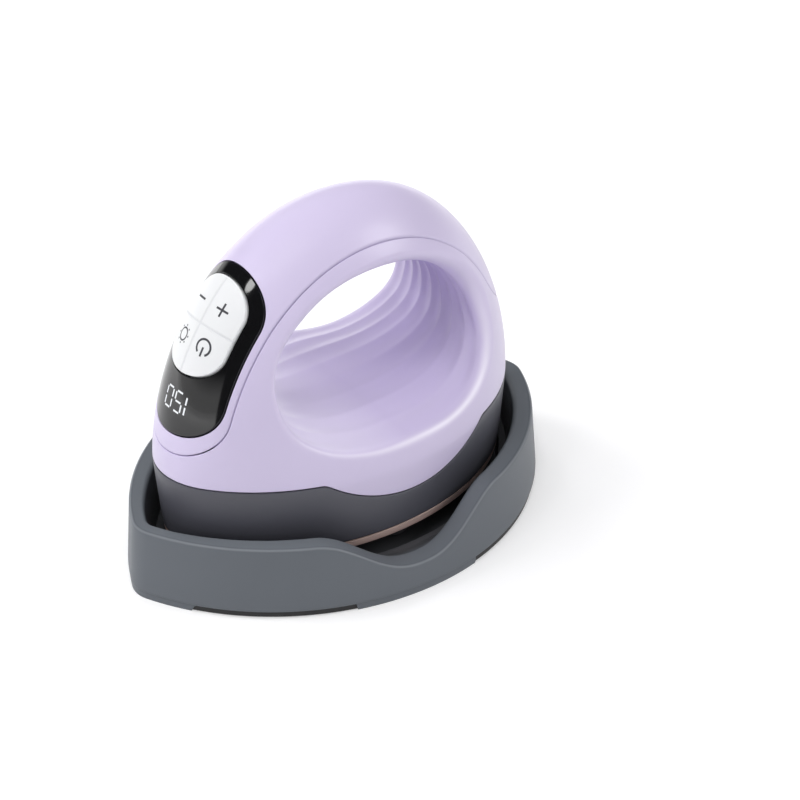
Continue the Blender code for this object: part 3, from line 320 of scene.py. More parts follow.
def build_stand_shell():
    turns = ring_turns(STAND_POINTS)
    flat = np.zeros_like(turns)
    outside = stand_ring(0.0, STAND_TIP_RADIUS, flat, turns)
    away = np.minimum(abs(outside[:, 0] - SCOOP_X) / SCOOP_HALF_LENGTH, 1.0)
    left = ((1 - np.cos(math.pi * away)) / 2) ** SCOOP_POWER
    tops = SHELF_Z + SCOOP_LIP + (STAND_RIM - SHELF_Z - SCOOP_LIP) * left
    feet = stand_feet(outside[:, 0], outside[:, 1])
    inner = SHELF_Z + (tops - SHELF_Z) * (1 - RIM_ROUND / (STAND_RIM - SHELF_Z))
    tip_in = STAND_INNER_TIP_RADIUS

    def ring(inset, tip, heights):
        """One ring of the shell; inside the rim it moves out a little at the front tip."""
        points = stand_ring(inset, tip, heights + flat, turns)
        opened = min(max((inset - RIM_EDGE) / (RIM_WIDTH - RIM_EDGE), 0.0), 1.0)
        opened *= inset < PIT_INSET
        forward = -points[:, 0] / STAND_HALF_LENGTH
        near_tip = np.clip((forward - RIM_THIN_FROM) / RIM_THIN_SPAN, 0.0, 1.0)
        points[:, 0] -= RIM_TIP_THIN * opened * near_tip ** 2
        return points

    rows = [ring(BASE_INSET, tip_in, BASE_LEVEL), ring(BASE_INSET, tip_in, feet)]
    for turn in np.linspace(0, math.pi / 2, 3):
        move = FOOT_EDGE * (1 - math.sin(turn))
        rows.append(ring(FOOT_SET_BACK + move, STAND_TIP_RADIUS - FOOT_SET_BACK - move,
                         feet + FOOT_EDGE * (1 - math.cos(turn))))
    rows.append(ring(FOOT_SET_BACK, STAND_TIP_RADIUS - FOOT_SET_BACK,
                     np.maximum(feet, FOOT_HEIGHT - FOOT_CREASE)))
    for turn in np.linspace(0, math.pi / 2, 5):
        move = FOOT_SET_BACK * (1 - math.sin(turn))
        rows.append(ring(move, STAND_TIP_RADIUS - move,
                         FOOT_HEIGHT + FOOT_EDGE + FOOT_ROUND * (1 - math.cos(turn))))
    wall_foot = FOOT_HEIGHT + FOOT_EDGE + FOOT_ROUND
    for share in np.linspace(0.15, 1.0, 7):
        rows.append(ring(0.0, STAND_TIP_RADIUS, wall_foot + (tops - RIM_EDGE - wall_foot) * share))
    crest_rows = range(len(rows), len(rows) + CREST_ROWS)
    for turn in np.linspace(0, math.pi / 2, CREST_ROWS + 1)[1:]:
        move = RIM_EDGE * (1 - math.cos(turn))
        rows.append(ring(move, STAND_TIP_RADIUS - move, tops - RIM_EDGE * (1 - math.sin(turn))))
    for share in (0.1, 0.4, 0.7, 0.9):
        span = RIM_WIDTH - RIM_ROUND - RIM_EDGE
        tip = (STAND_TIP_RADIUS - RIM_EDGE) * (1 - share) + tip_in * share
        rows.append(ring(RIM_EDGE + span * share, tip, tops))
    painted_shade_start = len(rows) + PAINTED_SHADE_FROM_ROW
    for turn in np.linspace(math.pi / 2, 0, CREST_ROWS + 1):
        move = RIM_WIDTH - RIM_ROUND * (1 - math.cos(turn))
        rows.append(ring(move, tip_in, tops - (tops - inner) * (1 - math.sin(turn))))
    for share in (0.3, 0.6, 0.85, 0.97, 1.0):
        inset = RIM_WIDTH + (SHELF_INSET - RIM_WIDTH) * share
        rows.append(ring(inset, tip_in, inner + (SHELF_Z - inner) * share))
    rows.append(ring(PIT_INSET - PIT_EDGE, tip_in, SHELF_Z))
    for turn in np.linspace(0, math.pi / 2, 4):
        rows.append(ring(PIT_INSET - PIT_EDGE * (1 - math.sin(turn)), tip_in,
                         SHELF_Z - PIT_EDGE * (1 - math.cos(turn))))
    rows.append(ring(PIT_INSET + PIT_SLOPE, tip_in, PIT_FLOOR))
    # Painted highlight: the grey turns lighter over the rim's outer rounding and, less, over the
    # rim's top.
    crest, hollow = np.zeros((2, len(rows), len(turns)))
    crest[crest_rows] = np.sin(np.linspace(0.1, math.pi, CREST_ROWS))[:, None] ** 2
    crest[crest_rows[-1] + 1:painted_shade_start] = RIM_TOP_PAINTED_LIGHT
    # Painted shade: the grey turns darker down the inside of the rim, over the shelf and in the pit.
    inside_rows = np.arange(len(rows) - painted_shade_start)
    hollow[painted_shade_start:] = np.clip(inside_rows / PAINTED_SHADE_FADE_ROWS, 0.0, 1.0)[:, None]
    shell = capped_rings("stand_shell_skin", rows, sharp=40.0, crest=crest, hollow=hollow)
    grey = moulded("stand_heatproof_plastic", STAND_GREY, roughness=0.46, shade=0.04,
                   marks={"crest": STAND_PAINTED_HIGHLIGHT, "hollow": STAND_PAINTED_SHADE})
    dress(shell, grey, "stand", "stand_shell", slot="stand_grey")
    build_screw_bosses(grey)


def build_screw_bosses(grey):
    """Four blind bosses on the pit's floor, which take the screws of the base."""
    circle = np.linspace(0, math.tau, 49)[:-1]
    points, faces = [], []
    for along, across in BOSS_SHARES:
        start = len(points)
        for radius, z in BOSS_PROFILE:
            x = along * STAND_HALF_LENGTH + radius * MM * np.cos(circle)
            y = across * STAND_HALF_WIDTH + radius * MM * np.sin(circle)
            points += list(np.stack([x, y, np.full_like(x, z * MM)], axis=-1))
        faces += grid_faces(len(BOSS_PROFILE), len(circle), closed=True, start=start)
        faces.append(tuple(range(len(points) - len(circle), len(points))))
    # The bosses stand in the pit and carry its full painted shade.
    bosses = mesh_object("stand_screw_bosses", points, faces, sharp=40.0,
                         hollow=np.ones(len(points)))
    dress(bosses, grey, "stand", slot="stand_grey")


build_stand_shell()


# Stand base and its screws: a thin black plate that closes the underside of the stand, held up in
# its recess by four pan-head steel screws. Both come to the stand from below.
BASE_BLACK = (0.013, 0.013, 0.014)
STEEL = (0.52, 0.52, 0.53)
# Profile of the black ring that paints the contact shadow between the feet: inset and height in mm.
DARK_GAP_RING_PROFILE = ((7.0, 1.7), (7.0, 0.3), (6.8, 0.1), (0.9, 0.1), (0.7, 0.25), (0.7, 1.79),
                (2.0, 1.79))
STREAK_WIDTH = 0.3 * MM
STREAK_STRETCH = (0.15, 1.0, 1.0)


def coat(material, *names):
    """Gives its finish to each CAD piece that shows in its own form."""
    for name in names:
        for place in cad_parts[name].material_slots:
            place.material = material


def build_dark_gap_ring():
    """A black ring round the base plate, just over the floor: painted shadow that darkens the gaps
    between the feet like a contact shadow.
    """
    turns = ring_turns(400)
    rows = [stand_ring(inset * MM, STAND_INNER_TIP_RADIUS, np.full_like(turns, z * MM), turns)
            for inset, z in DARK_GAP_RING_PROFILE]
    faces = grid_faces(len(rows) + 1, len(turns), closed=True)
    ring = mesh_object("stand_painted_shadow_ring", rows + rows[:1], faces, sharp=40.0)
    dress(ring, base_black, "stand")


def turned_metal(name, colour, roughness, streak=0.12):
    """Machined or drawn metal: long fine streaks across a clean bright surface."""
    finish = Finish(name, metallic=1.0)
    stretched = finish.node("ShaderNodeVectorMath", {"operation": "MULTIPLY"},
                            {0: finish.place, 1: STREAK_STRETCH}, "Vector")
    lines = finish.node("ShaderNodeTexNoise", {}, {"Vector": stretched, "Scale": 1 / STREAK_WIDTH,
                                                   "Detail": 3.0})
    dull = finish.noise(6.0 * MM, detail=3.0)
    low = tuple(c * (1 - streak) for c in colour)
    finish.feed("Base Color", finish.between(low, colour, lines * 0.6 + dull * 0.4))
    finish.feed("Roughness", dull * 0.12 + lines * 0.08 + (roughness - 0.1))
    finish.bump(lines, 0.002 * MM)
    return finish.material


base_black = moulded("base_black_plastic", BASE_BLACK, roughness=0.5, shade=0.15)
coat(base_black, "stand_base")
# Black ring just over the floor: painted shadow in the gaps between the feet.
build_dark_gap_ring()
screw_steel = turned_metal("screw_steel", STEEL, roughness=0.32)
coat(screw_steel, *(f"stand_base_screw_{i}" for i in range(1, 5)))


# Rests: four soft silicone buttons pressed into the pit of the stand. The hot plate settles on
# them and stays clear of the plastic.
SILICONE_GREY = (0.075, 0.075, 0.08)
coat(moulded("rest_silicone", SILICONE_GREY, roughness=0.72, grain=0.5 * MM, depth=0.01 * MM,
             shade=0.1), *(f"stand_rest_{i}" for i in range(1, 5)))


# Heat plate: cast aluminium under a coppery non-stick coat, with eased edges and a raised seat on
# its back. Its rim shows between the skirt and the stand's scoop.
BODY_HALF_LENGTH = 53.4 * MM
BODY_HALF_WIDTH = 33.8 * MM
BODY_TIP_RADIUS = 13.7 * MM
BODY_TOP = 93.0 * MM
SHOULDER = 31.0 * MM
BODY_LEAN = 1.2 * MM
SKIRT_DRAFT = math.radians(4.0)
PLAN_ROUND_SHARE = 0.51
ROUND_AT_SHARE = 0.66
LENGTH_POWERS = (1.8, 2.2)
WIDTH_POWERS = (1.36, 2.06)
PLATE_PROFILE = ((9.0, 10.2, 0), (0.2, 10.2, 0.6), (0.2, 12.5, 0.3), (6.0, 12.5, 0.3),
                 (6.0, 14.0, 0.4), (9.0, 14.0, 0))
PLATE_COPPER = (0.64, 0.47, 0.43)


def body_section(heights, inset=0.0):
    """The body's level outline at each height, moved in by inset: its sizes and its centre."""
    shrink = inset + np.maximum(SHOULDER - heights, 0.0) * math.tan(SKIRT_DRAFT)
    rise = np.clip((heights - SHOULDER) / (BODY_TOP - inset - SHOULDER), 0.0, 1 - 1e-9)
    length_share = (1 - rise ** LENGTH_POWERS[0]) ** (1 / LENGTH_POWERS[1])
    width_share = (1 - rise ** WIDTH_POWERS[0]) ** (1 / WIDTH_POWERS[1])
    roundness = PLAN_ROUND_SHARE + (1 - PLAN_ROUND_SHARE) * np.minimum(rise / ROUND_AT_SHARE, 1.0)
    sizes = ((BODY_HALF_LENGTH - shrink) * length_share, (BODY_HALF_WIDTH - shrink) * width_share,
             (BODY_TIP_RADIUS - shrink) * width_share, roundness)
    return sizes, BODY_LEAN * (rise - (1 - PLAN_ROUND_SHARE) * (1 - rise))


def body_point(turns, heights, inset=0.0):
    """The body's outer form, found by the direction that it faces and by height."""
    sizes, centre = body_section(heights, inset)
    x, y = plan_outline(*sizes, turns)
    return np.stack(np.broadcast_arrays(x + centre, y, heights), axis=-1)


def eased(corners):
    """A line through corners given as across, up and the reach of the corner's easing."""
    places = np.array([corner[:2] for corner in corners])
    points = []
    for i, (_, _, reach) in enumerate(corners):
        here = places[i]
        if not reach:
            points.append(here)
            continue
        before = places[i - 1] - here
        after = places[(i + 1) % len(corners)] - here
        before *= reach / np.linalg.norm(before)
        after *= reach / np.linalg.norm(after)
        for t in np.linspace(0, 1, 6):
            points.append(here + before * (1 - t) ** 2 + after * t ** 2)
    return np.array(points)


def build_heat_plate():
    turns = ring_turns(480)
    profile = eased([(inset * MM, z * MM, reach * MM) for inset, z, reach in PLATE_PROFILE])
    rows = [body_point(turns, np.full_like(turns, z), inset) for inset, z in profile]
    plate = capped_rings("heat_plate_skin", rows, sharp=50.0)
    finish = Finish("plate_copper_coat", metallic=0.2)
    mottle = finish.noise(5.0 * MM, detail=4.0, roughness=0.6)
    orange_peel = finish.noise(0.5 * MM)
    low = tuple(c * 0.86 for c in PLATE_COPPER)
    finish.feed("Base Color", finish.between(low, PLATE_COPPER, mottle))
    finish.feed("Roughness", mottle * 0.1 + orange_peel * 0.06 + 0.28)
    finish.bump(orange_peel, 0.006 * MM)
    dress(plate, finish.material, "press", "heat_plate", slot="plate_copper")


build_heat_plate()


# Heat stack above the plate: a steel-sheathed element, a ceramic sensor, a fuse in a metal case, a
# mica sheet, a steel shield, four spacers and the long screws that hold the plate to the deck.
MICA = (0.46, 0.40, 0.28)
CERAMIC = (0.76, 0.73, 0.66)
SCREW_BLACK = (0.03, 0.03, 0.032)
ELEMENT_STEEL = (0.34, 0.33, 0.31)
FUSE_METAL = (0.6, 0.58, 0.5)


def build_mica():
    finish = Finish("mica_sheet")
    flakes = finish.node("ShaderNodeTexVoronoi", {}, {"Vector": finish.place,
                                                      "Scale": 1 / (2.4 * MM)}, "Color")
    grey = finish.node("ShaderNodeSeparateColor", {}, {0: flakes}, 0)
    low = tuple(c * 0.78 for c in MICA)
    finish.feed("Base Color", finish.between(low, MICA, grey))
    finish.feed("Roughness", grey * 0.2 + 0.5)
    finish.bump(grey, 0.02 * MM)
    return finish.material


coat(turned_metal("element_sheath_steel", ELEMENT_STEEL, roughness=0.4), "heating_element")
coat(moulded("sensor_ceramic", CERAMIC, roughness=0.6, grain=0.4 * MM, depth=0.01 * MM),
     "temperature_sensor")
coat(turned_metal("fuse_case_metal", FUSE_METAL, roughness=0.35), "thermal_fuse")
coat(build_mica(), "insulation_sheet")
coat(turned_metal("shield_steel", STEEL, roughness=0.38), "heat_shield",
     *(f"plate_standoff_{i}" for i in range(1, 5)))
coat(turned_metal("blackened_screw_steel", SCREW_BLACK, roughness=0.45),
     *(f"plate_screw_{i}" for i in range(1, 5)))


# Skirt: the dark lower housing, moulded in satin charcoal heat-proof plastic. It has a drafted
# lens-shaped wall, a deck across it and a lip that plugs up into the lilac housing.
SKIRT_BOTTOM = 12.7 * MM
SKIRT_WALL = 3.4 * MM
SKIRT_LIP = 2.0 * MM
SKIRT_LIP_EASE = 0.2 * MM
SKIRT_LIP_ROOT = 0.4 * MM
SKIRT_FOOT = 2.0 * MM
SKIRT_FOOT_EASES = (0.5 * MM, 0.6 * MM)
SHELL_WALL = 2.0 * MM
GAP = 0.3 * MM
SEAM_GAP = 0.3 * MM
EDGE_ROUND = 0.25 * MM
DECK_BOTTOM = 21.4 * MM
DECK_TOP = 24.4 * MM
SPLIT_Z = 32.0 * MM
LOBE_HALF_LENGTH = 25.4 * MM
LOBE_DEPTH = 9.0 * MM
LOBE_EASE = 1.0 * MM
SKIRT_CHARCOAL = (0.077, 0.078, 0.096)


def split_height(x):
    """Height of the line between skirt and housing: level, with a lobe that dips at each side."""
    radius = (LOBE_HALF_LENGTH ** 2 + LOBE_DEPTH ** 2) / (2 * LOBE_DEPTH)
    lobe = SPLIT_Z - LOBE_DEPTH + radius - np.sqrt(np.maximum(radius ** 2 - x ** 2, 0.0))
    ease = np.maximum(1 - abs(SPLIT_Z - lobe) / LOBE_EASE, 0.0)
    return np.minimum(SPLIT_Z, lobe) - LOBE_EASE / 4 * ease ** 2


def split_line(turns, shift):
    """Heights of that line, raised by shift, round the body's outer face."""
    heights = np.full_like(turns, SPLIT_Z)
    for _ in range(24):
        heights = split_height(body_point(turns, heights)[..., 0]) + shift
    return heights


def build_skirt():
    turns = ring_turns(STAND_POINTS)

    def ring(inset, heights):
        return body_point(turns, heights + np.zeros_like(turns), inset)

    low = SKIRT_BOTTOM + SKIRT_FOOT
    foot = eased([(SKIRT_WALL, DECK_BOTTOM, 0), (SKIRT_WALL, SKIRT_BOTTOM, SKIRT_FOOT_EASES[0]),
                  (0.0, SKIRT_BOTTOM, SKIRT_FOOT_EASES[1]), (0.0, low, 0)])
    rows = [ring(inset, z) for inset, z in foot]
    edge = split_line(turns, -SEAM_GAP / 2)
    for share in np.linspace(0.15, 1.0, 7):
        rows.append(ring(0.0, low + (edge - EDGE_ROUND - low) * share))
    for t in np.linspace(0, 1, 5)[1:]:
        rows.append(ring(EDGE_ROUND * t * t, edge - EDGE_ROUND * (1 - t) ** 2))
    step, ease = SHELL_WALL + GAP, SKIRT_LIP_EASE
    rows += [ring(step - ease, edge), ring(step, edge), ring(step, edge + SKIRT_LIP_ROOT),
             ring(step, edge + SKIRT_LIP - ease), ring(step + ease, edge + SKIRT_LIP),
             ring(SKIRT_WALL, edge + SKIRT_LIP), ring(SKIRT_WALL, edge),
             ring(SKIRT_WALL, DECK_TOP)]
    skirt = capped_rings("lower_housing_skin", rows, sharp=40.0)
    charcoal = moulded("skirt_charcoal_plastic", SKIRT_CHARCOAL, roughness=0.4, grain=0.3 * MM,
                       depth=0.005 * MM, shade=0.06)
    dress(skirt, charcoal, "press", "lower_housing", slot="skirt_charcoal")


build_skirt()


# Power board in the skirt: green solder-masked board with a relay, a capacitor, a buzzer, the blue
# supply terminals and the sleeved wires to the controls. Steel screws hold the housing from below.
BOARD_GREEN = (0.016, 0.12, 0.05)
BOARD_TRACE = (0.03, 0.2, 0.08)
MOULDED_BLACK = (0.02, 0.02, 0.022)
TERMINAL_BLUE = (0.03, 0.12, 0.4)
TRACE_PITCH = 2.0 * MM


def build_board_finish():
    finish = Finish("board_solder_mask")
    cells = finish.node("ShaderNodeTexBrick", {}, {"Vector": finish.place, "Scale": 1 / TRACE_PITCH,
                                                   "Mortar Size": 0.05, "Color1": (0, 0, 0, 1),
                                                   "Color2": (0.3, 0.3, 0.3, 1),
                                                   "Mortar": (1, 1, 1, 1)}, "Color")
    track = finish.node("ShaderNodeSeparateColor", {}, {0: cells}, 0)
    finish.feed("Base Color", finish.between(BOARD_GREEN, BOARD_TRACE, track))
    finish.feed("Roughness", track * 0.15 + 0.3)
    finish.bump(track, 0.03 * MM)
    return finish.material


board_finish = build_board_finish()
part_black = moulded("component_black_plastic", MOULDED_BLACK, roughness=0.45, grain=0.3 * MM)
coat(board_finish, "power_board")
coat(part_black, "relay", "capacitor", "buzzer")
coat(moulded("terminal_blue_plastic", TERMINAL_BLUE, roughness=0.45, grain=0.3 * MM),
     "terminal_block")
coat(moulded("loom_braid_sleeve", MOULDED_BLACK, roughness=0.75, grain=0.6 * MM, depth=0.08 * MM,
             shade=0.3), "wiring_loom")
coat(screw_steel, "housing_screw_1", "housing_screw_2")


# Cord gland: a turned black rubber bush in the back wall, with a rounded nose outside, a flange
# inside and an open bore. The photograph shows no cord, so none is fitted.
GLAND_LEVEL = 28.7 * MM
GLAND_NOSE = 1.2 * MM
GLAND_RADIUS = 3.1 * MM
GLAND_BORE_RADIUS = 2.0 * MM
GLAND_FLANGE_RADIUS = 4.0 * MM
GLAND_FLANGE = 1.2 * MM
GLAND_FLANGE_SET = 1.0 * MM
GLAND_FLANGE_EASE = 0.3 * MM
GLAND_NOSE_EASES = (0.7 * MM, 0.35 * MM)


def build_cord_gland():
    wall = body_point(np.zeros(1), np.full(1, GLAND_LEVEL))[0, 0]
    nose = wall + GLAND_NOSE
    inside = wall - SKIRT_WALL - GLAND_FLANGE_SET
    profile = eased([(GLAND_BORE_RADIUS, inside - GLAND_FLANGE, 0),
                     (GLAND_FLANGE_RADIUS, inside - GLAND_FLANGE, GLAND_FLANGE_EASE),
                     (GLAND_FLANGE_RADIUS, inside, GLAND_FLANGE_EASE), (GLAND_RADIUS, inside, 0),
                     (GLAND_RADIUS, nose, GLAND_NOSE_EASES[0]),
                     (GLAND_BORE_RADIUS, nose, GLAND_NOSE_EASES[1])])
    turns = np.linspace(0, math.tau, 73)[:-1]
    rows = [np.stack([np.full_like(turns, x), r * np.cos(turns), GLAND_LEVEL + r * np.sin(turns)],
                     axis=-1) for r, x in profile]
    rows.append(rows[0])
    faces = grid_faces(len(rows), len(turns), closed=True)
    gland = mesh_object("cord_gland_skin", rows, faces, sharp=40.0)
    rubber = moulded("gland_black_rubber", MOULDED_BLACK, roughness=0.6, grain=0.3 * MM, shade=0.1)
    dress(gland, rubber, "press", "cord_gland", slot="black_plastic")


build_cord_gland()


# Main housing: the lilac upper shell, injection-moulded in satin ABS. A large finger hole runs
# right through it with a rounded lip and ribbed walls, and its long front and back ends close over
# the skirt. It is screwed to the skirt from inside.
HOLE_X = 1.2 * MM
HOLE_Z = 55.0 * MM
HOLE_HALF_LENGTH = 33.6 * MM
HOLE_UP = 24.5 * MM
HOLE_DOWN = 17.7 * MM
HOLE_POWERS = (2.0, 2.6)
HOLE_WAIST = 2.8 * MM
HOLE_LIP = 2.0 * MM
HOLE_POINTS = 2400
LIP_REACH = 0.5
LIP_START_STEP = 0.05 * MM
LIP_END_ROW = 0.995
RIPPLE_COUNT = 8
RIPPLE_DEPTH = 0.85 * MM
RIPPLE_SOFTNESS = 0.02
RIPPLE_FLOOR_SHARE = 0.8
RIPPLE_FLOOR_POWER = 1.5
RIPPLE_FADE_POWER = 12
SIDE_ROWS = 25
LIP_ROWS = 14
TUNNEL_ROWS = RIPPLE_COUNT * 7
LIP_SWELLS = ((-3.0, 20.0, 45.0), (-0.7, 90.0, 30.0), (-0.8, 147.0, 16.0), (-0.6, -88.0, 35.0))
FAR_SWELLS = ((3.0, -42.0, 24.0), (3.0, -138.0, 24.0), (0.4, -90.0, 30.0), (-1.0, 60.0, 50.0))
SPREAD_RADIUS = 40.0 * MM
SPREAD_Z = 40.0 * MM
COVER_TO_HOLE = 3.6 * MM
COVER_FRONT_Z = 39.4 * MM
COVER_BACK_Z = 50.0 * MM
COVER_END_DEPTH = 11.0 * MM
COVER_END_POWER = 2.3
END_POINTS = 37
SEAM_POINTS = 181
FOOT_POINTS = 201
BACK_POINTS = 15
FRONT_POINTS = 9
# How much painted light lifts the front wall of the finger hole:
FRONT_PAINTED_LIGHT = 0.8
HOUSING_LILAC = (0.642, 0.575, 0.787)
# Painted highlight colour of the hole's lip and front wall:
LILAC_PAINTED_HIGHLIGHT = (0.87, 0.825, 0.965)
# Painted shade colour of the tunnel's inside:
LILAC_PAINTED_SHADE = (0.50, 0.43, 0.67)


def bisect(low, high, further):
    """Halves each span down to one place; further tells where the place lies higher up."""
    low, high = low + 0.0, high + 0.0
    for _ in range(28):
        middle = (low + high) / 2
        up = further(middle)
        low, high = np.where(up, middle, low), np.where(up, high, middle)
    return low


def facing(x, heights, inset=0.0):
    """Direction that the body's surface faces at a place in its side view."""
    start = np.zeros(np.broadcast(x, heights).shape)
    sizes, centre = body_section(heights, inset)
    return bisect(start, start + math.pi,
                  lambda turns: plan_outline(*sizes, turns)[0] + centre > x)


def half_width(x, heights, inset=0.0):
    """Half width of the body at a place in its side view."""
    return plan_outline(*body_section(heights, inset)[0], facing(x, heights, inset))[1]


def signed_power(value, power):
    return np.sign(value) * abs(value) ** power


def hole_point(turns, grow=0.0):
    """The finger hole's outline in the side view, opened out by grow."""
    c, s = np.cos(turns), np.sin(turns)
    power = 2 / np.where(s > 0, HOLE_POWERS[0], HOLE_POWERS[1])
    x = HOLE_X + (HOLE_HALF_LENGTH + grow) * signed_power(c, power)
    z = HOLE_Z + (np.where(s > 0, HOLE_UP, HOLE_DOWN) + grow) * signed_power(s, power)
    return x, z


CROWN_HALF_WIDTH = half_width(np.array([HOLE_X]), np.array([HOLE_Z + HOLE_UP]))[0]
COVER_HALF_WIDTH = float(CROWN_HALF_WIDTH) - COVER_TO_HOLE


def housing_border(margin, inset):
    """Facing directions and heights along one side's border, kept back from it by margin.

    It climbs the back, rounds the cover's back end, follows the long seam over the arch, rounds
    the front end, drops down the front and comes home along the split line. The third result
    marks the points of the back and front lines, where the two sides join.
    """
    half = COVER_HALF_WIDTH + margin
    depth = COVER_END_DEPTH + margin
    c = np.linspace(0, 1, END_POINTS) ** 1.5
    y = half * np.sin(c * math.pi / 2) ** (2 / COVER_END_POWER)
    drop = depth * np.cos(c * math.pi / 2) ** (2 / COVER_END_POWER)
    back_z = COVER_BACK_Z + COVER_END_DEPTH - drop
    front_z = COVER_FRONT_Z + COVER_END_DEPTH - drop
    start = np.zeros_like(y)
    quarter = math.pi / 2
    back = bisect(start, start + quarter, lambda t: body_point(t, back_z, inset)[..., 1] < y)
    front = bisect(start + quarter, start + math.pi,
                   lambda t: body_point(t, front_z, inset)[..., 1] > y)
    seam = np.linspace(back[-1], front[-1], SEAM_POINTS)
    low = np.full_like(seam, SHOULDER)
    seam_z = bisect(low, np.full_like(seam, BODY_TOP - inset),
                    lambda z: body_point(seam, z, inset)[..., 1] > half)
    foot = np.linspace(math.pi, 0, FOOT_POINTS)
    foot += RING_PULL * np.sin(2 * foot)
    low_z = SPLIT_Z + margin
    parts = [(np.zeros(BACK_POINTS), np.linspace(low_z, back_z[0], BACK_POINTS)), (back, back_z),
             (seam, seam_z), (front[::-1], front_z[::-1]),
             (np.full(FRONT_POINTS, math.pi), np.linspace(front_z[0], low_z, FRONT_POINTS)),
             (foot, split_line(foot, margin))]
    turns = np.concatenate([part[0][:-1] for part in parts])
    heights = np.concatenate([part[1][:-1] for part in parts])
    joined = np.concatenate([np.full(len(part[0]) - 1, i in (0, 4))
                             for i, part in enumerate(parts)])
    return turns, heights, joined


def matched(wanted, bearings, places):
    """Places round a loop, from 0 to 1, that are seen from its middle at the wanted bearings."""
    turns = places * math.tau
    c = np.interp(wanted, bearings, np.cos(turns), period=math.tau)
    s = np.interp(wanted, bearings, np.sin(turns), period=math.tau)
    return np.arctan2(s, c) / math.tau % 1.0


def edge_rows(loop, wall, gap=SEAM_GAP / 2, ease=EDGE_ROUND):
    """Rows that round a border over and go down its wall; loop gives points by margin and inset."""
    flat, corner, turned = loop(gap + ease, 0.0), loop(gap, 0.0), loop(gap, ease)
    rows = [flat * (1 - t) ** 2 + corner * 2 * t * (1 - t) + turned * t ** 2
            for t in np.linspace(0, 1, 5)]
    return rows + [loop(gap, wall)]


def swelling(bearings, swells):
    """Sum of smooth swells round a loop, each given by its height in mm, bearing and width."""
    total = np.zeros_like(bearings)
    for height, middle, width in swells:
        away = (np.degrees(bearings) - middle + 180.0) % 360.0 - 180.0
        total += height * MM * np.exp(-(away / width) ** 2)
    return total


